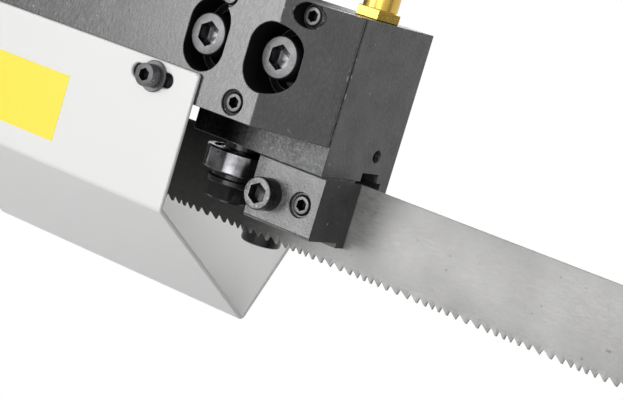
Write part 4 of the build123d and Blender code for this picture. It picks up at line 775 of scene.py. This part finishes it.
# %% Brass hose barb
barb_rows = [(-8, 4.1), (-7.6, 4.5), (0, 4.5), (0, 6.1), (0.3, 6.5, 6), (3.0, 6.5, 6), (3.3, 6.1), (3.3, 5.4),
             (14.5, 5.4), (14.5, 5.2), (14.8, 5.5, 6), (20.2, 5.5, 6), (20.5, 5.1), (20.5, 3.4)]
for lift in (24.0, 29.0, 34.0):
    barb_rows += [(lift, 3.4), (lift + 0.1, 4.4), (lift + 0.3, 4.5), (lift + 4.0, 3.45)]
barb_rows += [(40.2, 3.4), (40.5, 3.1), (40.5, 2.0), (40.3, 1.8), (9.0, 1.8), (8.5, 0.4)]
fitting = [stack(barb_rows, (head_x - 10.0, -4.0, 75.6), up, spin=np.radians(3.2))]
stand_in("coolant_fitting", fitting, brass)
stand_in("right_fitting", mirrored(fitting), brass)
print("fitting rings", len(barb_rows))

# %% [markdown]
# ## Label patch
# A bare yellow sticker on the guard's front plate: a rounded rectangle a tenth of a millimetre thick. The
# corner points come from one angle array that is pushed out to the four corners.

# %% Yellow patch


def slab(width, height, corner, thick, at, across, upward, count=8):
    """Thin plate with rounded corners: sign(way) x (half the size - corner) + corner x way, as the way goes
    round. Two equal rings make the rim, and one at full thickness is drawn in by three tenths of it."""
    soft, size = 0.3 * thick, np.array((width, height))
    a = np.linspace(0, 2 * np.pi, 4 * count, endpoint=False) + np.pi / (4 * count)
    way = np.stack([np.cos(a), np.sin(a)], -1)
    ring = np.sign(way) * (size / 2 - corner) + corner * way
    flat = np.stack([ring, ring, ring * (1 - 2 * soft / size)])
    lift = np.array((0.0, thick - soft, thick))[:, None, None] * np.cross(across, upward)
    points = flat @ np.array((across, upward), float) + lift
    return points.reshape(-1, 3) + at, ring_faces(3, 4 * count, False)


patch_w, patch_h, patch_thick = 62.0, 21.0, 0.12
patch_at = np.array((head_x - 86.5 - patch_w / 2, guard_y, 21.2))
patch = [slab(patch_w, patch_h, 0.3, patch_thick, patch_at, right, up)]
piece("label_patch", patch, "guide", label_vinyl)
print("patch", len(patch[0][0]), "points")

# %% [markdown]
# ## The blade
# One ribbon round both wheels. Along the run, every tooth gets eight cross-sections: tip, hooked face,
# rounded gullet and the long back. The pitch changes from tooth to tooth, and the tips are bent left, right
# or not at all. Between the guides and the wheels the ribbon turns by sixty degrees about its own middle.

# %% The path of the blade
span_left, span_right, twist_end = -205.0, 180.0, wheel_x - 20.0
arc = math.pi * wheel_t
stops = np.cumsum([0.0, wheel_x - span_left, arc, 2 * wheel_x, arc, wheel_x + span_left])
once_round = stops[-1]


def on_loop(run):
    """Middle line of the blade and its two directions at a run length from the left guide: bottom to the
    right wheel, round it, back along the top, round the left wheel, and along the bottom. Round a wheel the
    middle is wheel_t x sin(turn) past the axle and wheel_t x (1 - cos(turn)) up the lean. Past a guide the
    blade bends by its share of the way to the wheel."""
    run = np.mod(run, once_round)[:, None]
    leg = np.searchsorted(stops[1:-1], run[:, 0], side="right")[:, None]
    part = run - stops[:-1][leg]
    none, low, ahead = 0 * part, (leg == 0) | (leg == 4), np.array(right, float)
    turn = np.choose(leg, [none, part / wheel_t, none + math.pi, math.pi + part / wheel_t, none])
    x = np.choose(leg, [span_left + part, none + wheel_x, wheel_x - part, none - wheel_x, part - wheel_x])
    x = x + np.where(leg % 2, wheel_t * np.sin(turn), 0.0)
    guide, far = np.where(x > 0, span_right, span_left), np.where(x > 0, twist_end, -twist_end)
    bend = np.where(low, np.clip((x - guide) / (far - guide), 0, 1), 1.0) * (math.pi / 2 - lean)
    middle = x * ahead + wheel_t * (1 - np.cos(turn)) * lean_t + (0.0, 0.0, blade_w / 2)
    wide = np.concatenate([none, -np.sin(bend), np.cos(bend)], 1)
    flat = np.concatenate([none, np.cos(bend), np.sin(bend)], 1)
    return middle, wide, np.where(low, flat, np.cos(turn) * lean_t - np.sin(turn) * ahead)


print("once round the blade", round(once_round), "mm")

# %% Ribbon with teeth
tooth_depth, bent_by = 1.75, 0.22
pitches = np.array((2.4, 2.8, 3.2, 3.7, 3.9, 3.5, 3.0, 2.6))
teeth = int(round(once_round / pitches.mean()))
pitch = pitches[np.arange(teeth) % len(pitches)]
pitch = pitch * once_round / pitch.sum()
tip = np.cumsum(pitch) - pitch
share = np.array((0.0, 0.07, 0.13, 0.22, 0.34, 0.52, 0.76, 0.93))
notch = np.array((0.0, 0.55, 0.88, 1.0, 0.93, 0.68, 0.30, 0.07)) * tooth_depth
run = (tip[:, None] + pitch[:, None] * share).ravel()
edge = np.tile(notch, teeth)
bent = bent_by * np.array((0, 1, -1))[np.arange(teeth) % 3]
set_out = np.repeat(bent, len(share)) * (1 - edge / tooth_depth)
half = blade_t / 2
levels = np.array((2.3, 3.0, blade_w - 0.4, blade_w))
cheek = np.array((1.0, 1.0, 1.0, 0.6)) * half
flanks = np.tile(np.r_[levels, levels[::-1]], (len(run), 1))
cheeks = np.tile(np.r_[-cheek, cheek[::-1]], (len(run), 1))
high = np.column_stack([edge, flanks, edge])
sideways = np.column_stack([set_out - half, cheeks, set_out + half])
# A point of the ribbon is the middle + (height - half the width) x wide + sideways x flat.
middle, wide, flat = on_loop(run)
ribbon = middle[:, None] + (high - blade_w / 2)[..., None] * wide[:, None]
ribbon = ribbon + sideways[..., None] * flat[:, None]
blade_shell = [(ribbon.reshape(-1, 3), ring_faces(len(run), high.shape[1], True))]
# The blade's film attribute is painted shade: it darkens the blade inside the left guard and under its jaw.
blade_steel = finish("blade_steel", (0.325, 0.323, 0.317), 0.42, metal=0.16, cloudy=(60.0, 0.12),
                     grained=(1300.0, (0.30, 1, 1)), relief=6e-6, rough_swing=0.10, tone=0.18,
                     flecks=((0.16, 0.16, 0.16), 420.0, 0.03), reads="along", painted_shade="painted_shade", shade_share=0.12)
blade = piece("blade_ribbon", blade_shell, "bow", blade_steel, ("blade",), crease=40.0)
print("blade", teeth, "teeth,", len(blade.data.polygons), "faces")

# %% [markdown]
# ## Painted shade on the blade
# The blade's pattern follows the ribbon, so each point keeps its own run, height and side as an attribute.
# A second one says how much shade is painted on: most just outside the left guide head, where the guard
# and the jaw shade the blade, less towards the teeth, and faint painted bands go on all the way round.

# %% Attributes of the blade
shade_at, shade_full, shade_gone = -18.0, 44.0, 84.0
tooth_shade_share, tooth_shade_to, full_shade_from = 0.84, 7.0, 15.0
wave_share, wave_count, wave_from = 0.11, 17, 103.0
spot = np.stack([np.repeat(run, high.shape[1]), high.ravel(), sideways.ravel()], 1) * mm
along = blade.data.attributes.new("along", "FLOAT_VECTOR", "POINT")
along.data.foreach_set("vector", spot.astype(np.float32).ravel())
# Painted shade along the run: full inside the left guard, fading out past the jaw; less near the teeth, full
# higher up, and faint painted bands repeat all round.
away = np.abs(np.mod(run - shade_at + once_round / 2, once_round) - once_round / 2)[:, None]
shaded_run = np.clip((shade_gone - away) / (shade_gone - shade_full), 0, 1)
thick = tooth_shade_share + (1 - tooth_shade_share) * np.clip((high - tooth_shade_to) / (full_shade_from - tooth_shade_to), 0, 1)
waves = wave_share * (1 - np.cos(2 * np.pi * wave_count * (run - wave_from) / once_round))[:, None]
shade_layer = blade.data.attributes.new("painted_shade", "FLOAT", "POINT")
shade_layer.data.foreach_set("value", np.maximum(shaded_run * thick, waves).astype(np.float32).ravel())
print("oil on", int((shaded_run > 0).sum()), "of", len(run), "cross-sections")

# %% [markdown]
# ## Finishes of the machine
# The castings have thick satin paint with the grain of the sand mould under it, chipped along the edges. The
# bars are bright steel with fine rings from the lathe across their length, the knobs and grips are black
# plastic, and the box is grey moulded plastic.

# %% Paint
casting_paint = finish("casting_paint", (0.36, 0.38, 0.40), 0.40, cloudy=(9.0, 0.08), relief=2.0e-4,
                       grained=(380.0, (1, 1, 1)), rough_swing=0.10, tone=0.05,
                       flecks=((0.29, 0.31, 0.33), 170.0, 0.05))
casting_edge = finish("casting_edge", (0.43, 0.45, 0.47), 0.38, cloudy=(45.0, 0.15), relief=1.6e-4,
                      grained=(380.0, (1, 1, 1)), rough_swing=0.10, tone=0.05,
                      flecks=((0.22, 0.225, 0.23), 110.0, 0.08))
bed_paint = finish("bed_paint", (0.19, 0.20, 0.21), 0.46, cloudy=(8.0, 0.10), relief=2.4e-4,
                   grained=(340.0, (1, 1, 1)), rough_swing=0.10, tone=0.06,
                   flecks=((0.14, 0.15, 0.16), 150.0, 0.045))
bed_edge = finish("bed_edge", (0.24, 0.25, 0.26), 0.42, cloudy=(45.0, 0.20), relief=1.8e-4,
                  grained=(340.0, (1, 1, 1)), rough_swing=0.10, tone=0.05,
                  flecks=((0.40, 0.40, 0.41), 120.0, 0.11))
machine_paint = finish("machine_paint", (0.23, 0.24, 0.26), 0.36, cloudy=(12.0, 0.06), relief=9e-5,
                       grained=(600.0, (1, 1, 1)), rough_swing=0.08, tone=0.04)
gearbox_paint = finish("gearbox_paint", (0.33, 0.35, 0.37), 0.38, cloudy=(10.0, 0.07), relief=1.6e-4,
                       grained=(430.0, (1, 1, 1)), rough_swing=0.09, tone=0.05,
                       flecks=((0.26, 0.28, 0.30), 170.0, 0.05))
print("finishes", len(finishes))

# %% Bright steel and plastics
bright_steel = finish("bright_steel", (0.56, 0.56, 0.57), 0.30, metal=0.95, cloudy=(40.0, 0.05),
                      grained=(1400.0, (0.2, 1, 1)), relief=1.5e-6, rough_swing=0.05, tone=0.05)
lathe = dict(colour=(0.56, 0.56, 0.57), rough=0.27, metal=0.95, cloudy=(40.0, 0.05), relief=2.5e-6,
             rough_swing=0.07, tone=0.07)
upright_steel = finish("upright_steel", **lathe, grained=(1500.0, (0.03, 0.03, 1)))
cross_steel = finish("cross_steel", **lathe, grained=(1500.0, (0.03, 1, 0.03)))
long_steel = finish("long_steel", **lathe, grained=(1500.0, (1, 0.03, 0.03)))
ground_table = finish("ground_table", (0.50, 0.50, 0.51), 0.34, metal=0.9, cloudy=(25.0, 0.10),
                      grained=(1200.0, (0.05, 1, 1)), relief=3e-6, rough_swing=0.10, tone=0.12)
black_plastic = finish("black_plastic", (0.025, 0.025, 0.027), 0.36, cloudy=(30.0, 0.10),
                       grained=(1100.0, (1, 1, 1)), relief=1e-5, rough_swing=0.08)
box_plastic = finish("box_plastic", (0.29, 0.30, 0.31), 0.48, cloudy=(20.0, 0.03),
                     grained=(1500.0, (1, 1, 1)), relief=1.5e-5, rough_swing=0.05)
moulded = dict(rough=0.30, cloudy=(40.0, 0.05), grained=(1200.0, (1, 1, 1)), relief=5e-6, rough_swing=0.05)
red_plastic = finish("red_plastic", (0.60, 0.035, 0.03), **moulded)
green_plastic = finish("green_plastic", (0.05, 0.34, 0.11), **moulded)
print("finishes", len(finishes))

# %% [markdown]
# ## Castings, covers and boxes
# These are the CAD shapes with moulded edges. The tops of the two tables and the vise faces are ground bare,
# so faces at that height or with that normal take the ground finish.

# %% Eased castings and boxes
table_z, above_table, vise_x, vise_half, nearly = 0.150, 0.16, -0.130, 0.1, 0.002


def ground_tops(spots, ways):
    """Faces that look up at table height."""
    return (ways[:, 2] > facing) & (np.abs(spots[:, 2] - table_z) < nearly)


def ground_faces(spots, ways):
    """Upright faces across the vise, where the work is gripped: half the vise's opening from its middle."""
    gripping = np.abs(np.abs(spots[:, 0] - vise_x) - vise_half) < nearly
    return gripping & (np.abs(ways[:, 0]) > facing) & (spots[:, 2] > above_table)


edge_of = {casting_paint: casting_edge, gearbox_paint: casting_edge, bed_paint: bed_edge}
for part, width, look in (
    ("bow_casting", 0.8, casting_paint), ("arm_bracket", 0.8, casting_paint),
    ("right_bracket", 0.3, casting_paint), ("pivot_arm", 0.6, casting_paint),
    ("tension_bracket", 0.3, casting_paint), ("bed", 0.6, bed_paint), ("pivot_bracket", 0.6, bed_paint),
    ("gearbox", 0.3, gearbox_paint), ("terminal_box", 0.6, machine_paint),
    ("wheel_cover", 0.6, powder_white), ("control_box", 1.2, box_plastic),
    ("tension_rails", 0.6, black_oxide), ("tension_carriage", 0.6, black_oxide),
    ("drive_wheel", 0.8, bright_steel), ("idler_wheel", 0.8, bright_steel), ("stop_arm", 0.3, bright_steel),
):
    eased(part, width, look, edge_of.get(look))
for part in ("vise_table", "front_rest"):
    eased(part, 0.5, bed_paint, bed_edge, third=ground_table, where=ground_tops)
for part in ("fixed_jaw", "vise_jaw"):
    eased(part, 0.7, casting_paint, casting_edge, third=ground_table, where=ground_faces)

# %% [markdown]
# ## Screws with threads
# The vise and tension screws carry a real helix, with the plain bearing collars turned on the same bar.

# %% Vise screw and tension screw
vise_r, tension_r = 8.0, 6.0


def collar(h0, h1, r, bar):
    """Rings of a collar on a bar: step out, softened corners, step back."""
    return [(h0, bar), (h0, r - 0.4), (h0 + 0.4, r), (h1 - 0.4, r), (h1, r - 0.4), (h1, bar)]


vise_y, vise_z, wheel_at = 128.0, 105.0, -402.0
vise_rows = [(0, 6.8), (1.2, vise_r), *collar(190.7, 200.7, 14.0, vise_r),
             *collar(216.3, 222.3, 11.0, vise_r), (224, vise_r), (224, 6.0)]
vise_bar = [stack(vise_rows, (-416, vise_y, vise_z), right, count=32),
            thread(vise_r, 6.0, 1.1, 274.0, (-194, vise_y, vise_z), right)]
stand_in("vise_screw", vise_bar, long_steel, from_bed)
tension_n = 51.0
tension_rows = [(0, 5.2), (0.8, tension_r), *collar(26.7, 33.7, 10.0, tension_r),
                *collar(58.3, 65.3, 10.0, tension_r), (67, tension_r), (67, 4.6)]
tension_bar = [stack(tension_rows, leaning(-600, wheel_t, tension_n), right, count=32),
               thread(tension_r, 3.0, 0.7, 122.0, leaning(-534, wheel_t, tension_n), right)]
stand_in("tension_screw", tension_bar, bright_steel)
print("thread points", len(vise_bar[1][0]), len(tension_bar[1][0]))

# %% [markdown]
# ## Handles, knobs and the handwheel
# All are moulded in black plastic. A rim is a rounded rectangle turned about the screw, a grip is a stack
# with a swelling profile, and the flow knob has eight scallops from a cosine.

# %% Handwheel


def swollen(h0, h1, r, ends=0.55, count=12):
    """Rings of a grip: radius r x (ends + (1 - ends) x root of sin(pi s)), as s goes along it."""
    s = np.linspace(0.02, 0.98, count)
    return list(zip(h0 + (h1 - h0) * s, r * (ends + (1 - ends) * np.sin(np.pi * s) ** 0.5)))


def rim_profile(mean, radial, axial, corner, count=5):
    """Closed rounded rectangle as (height, radius) rings about a mean radius."""
    a = np.linspace(0, 2 * np.pi, 4 * count, endpoint=False) + np.pi / (4 * count)
    h = np.sign(np.sin(a)) * (axial / 2 - corner) + corner * np.sin(a)
    r = np.sign(np.cos(a)) * (radial / 2 - corner) + corner * np.cos(a)
    return np.stack([h, mean + r], 1)


rim_r = 66.0
hub, pin = (wheel_at, vise_y, vise_z), (wheel_at, vise_y, vise_z + rim_r)
hub_rows = [(-12, 8.1), (-12, 18.0), (-11, 19.0), (15, 19.0), (16, 18.0), (16, 8.1)]
hand = [stack(rim_profile(rim_r, 13.0, 16.0, 5.0), hub, right, wrap=True, count=many),
        stack(hub_rows, hub, right, wrap=True)]
for angle in np.radians((60, 180, 300)):
    way = (0.0, math.cos(angle), math.sin(angle))
    hand.append(stack([(14, 6.4), (24, 5.6), (48, 5.0), (62, 5.6)], hub, way, count=few))
hand.append(stack([(3, 5.0), (18, 5.0)], pin, left, count=few))
hand.append(stack([(14, 7.0), *swollen(14.2, 69.8, 10.0, 0.72), (70, 5.0)], pin, left))
stand_in("vise_handwheel", hand, black_plastic, from_bed)
print("handwheel shells", len(hand))

# %% Tension handle and clamp lever
boss_rows = [(0, 14.0), (0.6, 16.2), (2, 17.0), (24.5, 17.0), (26, 15.6), (26, 6.1), (12, 6.1), (12, 0.4)]
star = [stack(boss_rows, leaning(-612, wheel_t, tension_n), right)]
star_at = leaning(-599, wheel_t, tension_n)
for angle in np.radians((30, 150, 270)):
    way = math.cos(angle) * lean_t + math.sin(angle) * lean_n
    star.append(stack([(12, 6.5), (20, 5.2), (52, 4.4)], star_at, way, count=few, across=right))
    star.append(stack([(50, 4.4), *swollen(50.2, 67.8, 9.0, 0.5), (68, 3.5)], star_at, way, across=right))
stand_in("tension_handle", star, black_plastic)
lever_x, lever_z, lever_way = -350.0, 56.0, (-0.62, -0.36, 0.697)
lever_face, lever_end, lever_root = [(lever_x, y, lever_z) for y in (-59.5, -63.0, -74.0)]
lever_rows = [(0, 11.2), (0.8, 12.0), (20, 12.0), (23, 10.6), (24, 8.0), (24, 0.4)]
lever = [stack(lever_rows, lever_face, front),
         stack([(0, 5.0), (20.0, 5.0), (20.4, 4.6)], lever_end, rear, count=few),
         stack([(4, 6.4), (14, 5.5), (54, 5.0)], lever_root, lever_way, count=few),
         stack([(52, 5.0), *swollen(52.2, 77.8, 9.0, 0.6), (78, 4.5)], lever_root, lever_way)]
stand_in("clamp_lever", lever, black_plastic)
print("handle shells", len(star), "lever shells", len(lever))

# %% Bow handle and flow knob
foot_rows = [(0, 13.0), (4.5, 13.0), (6, 11.5), (7.5, 8.6), (9, 8.0), (52, 8.0)]
grip_rows = [(0, 6.5), *swollen(0.3, 187.7, 11.0, 0.8, 24), (188, 6.5)]
grab = [stack(foot_rows, leaning(-500, wheel_t + t, 38), lean_n) for t in (-78, 78)]
grab.append(stack(grip_rows, leaning(-500, wheel_t - 94, 94), lean_t))
stand_in("bow_handle", grab, black_plastic)
post_x, valve_z, scallops, scallop = 435.0, 76.0, 8, 0.10
knob_at = (post_x, -44.3, valve_z)
knob_a = np.linspace(0, 2 * np.pi, many, endpoint=False)[None, :]
knob_h = np.array((0.0, 0.8, 12.6, 13.6, 14.0, 14.0))[:, None]
knob_r = np.array((12.2, 13.0, 13.0, 12.3, 11.0, 0.5))[:, None]
lobes = knob_r * (1 - scallop * np.clip(np.cos(scallops * knob_a), 0, 1) ** 2)
flow = [around(lobes, knob_h + 0 * knob_a, knob_at, front),
        stack([(0, 3.0), (8, 3.0)], knob_at, rear, count=few)]
stand_in("flow_knob", flow, black_plastic, from_bed)
print("bow handle shells", len(grab), "knob shells", len(flow))

# %% [markdown]
# ## Motor, post, rods and buttons
# Every one is a stack of rings: the motor's cooling fins, the fan cowl with its ring grooves, the hydraulic
# post with a sliding rod in it, two plain bars, and the two push buttons.

# %% Motor and fan cowl
quarter = np.radians(np.linspace(0, 90, 8))


def rounded(h, r, soft):
    """Rings of a rounded corner: soft x sin above h and soft x cos outside r, over a quarter turn."""
    return list(zip(h + soft * np.sin(quarter[1:]), r + soft * np.cos(quarter[1:])))


motor_n = 104.0
motor_at, cowl_at = leaning(wheel_x, wheel_t + 86.0, motor_n), leaning(wheel_x, wheel_t + 236.0, motor_n)
fin_at = np.arange(2, 14) * 9.0
fin_rows = [(0, 57.0), (0.8, 58.0), (8.2, 58.0), (9, 57.0), (9, 51.0)]
for h in fin_at:
    fin_rows += [(h, 51.0), (h + 0.4, 57.4), (h + 0.9, 58.0),
                 (h + 2.3, 58.0), (h + 2.8, 57.4), (h + 3.2, 51.0)]
fin_rows += [(141, 51.0), (141, 55.4), (141.6, 56.0), (150, 56.0)]
stand_in("motor", [stack(fin_rows, motor_at, lean_t, count=many, across=right)], machine_paint)
cowl_rows = [(0, 57.4), (0.6, 58.0), (32, 58.0), *rounded(32, 48, 10)]
for groove in (34.0, 24.0, 14.0):
    cowl_rows += [(42, groove + 3.3), (41.6, groove + 3.0), (37, groove + 3.0),
                  (37, groove - 3.0), (41.6, groove - 3.0), (42, groove - 3.3)]
cowl_rows.append((42, 0.5))
stand_in("motor_cowl", [stack(cowl_rows, cowl_at, lean_t, count=many, across=right)], machine_paint)
print("fins", len(fin_at), "cowl rings", len(cowl_rows))

# %% Post, rods and shaft
post_y, rod_r, rod_drop = -10.0, 8.0, 8.6
post_rows = [(0, 21.4), (0.6, 22.0), (42, 22.0), (42, 29.4), (42.6, 30.0), (49.4, 30.0), (50, 29.4),
             (50, 22.0), (87, 22.0), (88, 21.0), (88, 8.3), (3, 8.3), (3, 0.4)]
valve_rows = [(0, 9.0), (15.4, 9.0), (16, 8.4), (16, 3.05), (6, 3.05), (6, 0.4)]
post = [stack(post_rows, (post_x, post_y, 4.0), up, count=64),
        stack(valve_rows, (post_x, -28.0, valve_z), front)]
stand_in("dashpot", post, upright_steel, from_bed)
rod_top = pivot_in_bed[2] + (pivot_in_bed[0] - post_x) * math.tan(raised) - rod_drop / math.cos(raised)
dome = list(zip(rod_r * np.sin(quarter), np.maximum(rod_r * np.cos(quarter), 0.3)))
rod = stack([(-87, 7.4), (-86.4, rod_r), *dome], (post_x, post_y, rod_top), up)
stand_in("dash_rod", [rod], upright_steel, from_bed)
stop_rod = stack([(0, 6.0), (1, 7.0), (249, 7.0), (250, 6.0)], (105.0, -115.0, 126.0), front)
stand_in("stop_rod", [stop_rod], cross_steel, from_bed)
shaft_rows = [(0, 12.5), (1.5, 14.0), (132.5, 14.0), (134, 12.5), (134, 3.0), (133, 2.0), (133, 0.4)]
shaft = stack(shaft_rows, pivot_in_bed - (0.0, 77.0, 0.0), rear)
stand_in("pivot_shaft", [shaft], cross_steel, from_bed)
print("rod top at", round(rod_top, 1), "mm")

# %% Push buttons
button_x = -224.0
press = [(0, 11.6), (0.4, 12.0), (12.8, 12.0), (13.7, 11.5), (14, 10.6), (13.7, 8.0), (13.6, 0.4)]
stand_in("start_button", [stack(press, (button_x, -217.0, 96.0), front)], green_plastic, from_bed)
cap = [(0, 8.6), (0.4, 9.0), (16, 9.0), (16, 16.2), (16.8, 17.0), (21, 17.0), *rounded(21, 13, 4), (25, 0.5)]
stand_in("stop_button", [stack(cap, (button_x, -218.0, 50.0), front)], red_plastic, from_bed)
print("button rings", len(press), len(cap))

# %% [markdown]
# ## Small fixings
# The screws of the wheel covers, the gearbox, the motor's terminal box, the tension rails, the brackets, the
# pivot arm, the fan cowl, the foot of the pivot, the control box and the fixed jaw. They are socket screws
# like those of the guide head, set out with polar and rectangular patterns.

# %% Fixings on the bow
cover_r, gear_r, cowl_r = 173.5, 29.0, 61.7


def about_wheel(r, angle, n, side=1):
    """A point at a radius and an angle about an axle: side is 1 for the right one and -1 for the left one."""
    return leaning(side * (wheel_x + r * math.cos(angle)), wheel_t + r * math.sin(angle), n)


low_head = [(0, 4.6), (0.4, 5.0), (2.5, 5.0), (3.0, 4.4), (3.0, 2.4),
            (2.8, 2.05, 6), (0.9, 2.0, 6), (0.8, 0.3)]
covers = [stack(low_head, about_wheel(cover_r, k, -26.0, side), -lean_n)
          for side in (-1, 1) for k in np.radians((-30, 5, 45, 80))]
stand_in("cover_screws", covers, screw_steel)
gear_bolts = [cap_screw(about_wheel(gear_r, k, 158.0), lean_n, m5)
              for k in np.linspace(0, 2 * np.pi, 6, endpoint=False)]
lid_bolts = [cap_screw(leaning(wheel_x + x, wheel_t + t, 198.0), lean_n, m4)
             for x in (-34, 34) for t in (124.0, 188.0)]
rail_bolts = [cap_screw(leaning(x - wheel_x, wheel_t + t, 78.35), lean_n, m5)
              for x in (-44, 9, 62) for t in (-36, 36)]
bracket_bolts = [cap_screw((x, -67.0, 84.0), front, m8) for x in (-384.0, -316.0)]
arm_bolts = [cap_screw((x, -60.0, z), front, m10) for x, z in ((440.0, -16.0), (478.0, 4.0))]
right_clamp = cap_screw((2 * mirror_x - lever_x, -67.0, lever_z), front, m8, 16.0)
cowl_ways = [math.cos(k) * np.array(right) + math.sin(k) * lean_n for k in np.radians((45, 135, 225, 315))]
cowl_bolts = [cap_screw(cowl_at + 14.0 * lean_t + cowl_r * way, way, m4) for way in cowl_ways]
bow_bolts = gear_bolts + lid_bolts + rail_bolts + bracket_bolts + mirrored(bracket_bolts)
bow_bolts += [*arm_bolts, right_clamp, *cowl_bolts]
piece("bow_fixings", bow_bolts, "bow", two_tone)
print("bow fixings", len(covers + bow_bolts))

# %% Fixings on the bed
foot_bolts = [cap_screw((pivot_in_bed[0] + x, y, 64.0), up, m8) for x in (-33, 33) for y in (-45.0, 25.0)]
box_bolts = [cap_screw((button_x + x, -226.0, z), front, m4) for x in (-40, 40) for z in (18, 122)]
jaw_bolt = [cap_screw((148.0, 129.0, 187.0), up, m8)]
piece("bed_fixings", foot_bolts + box_bolts + jaw_bolt, "base", two_tone, frame_of=from_bed)
print("bed fixings", len(foot_bolts + box_bolts + jaw_bolt))
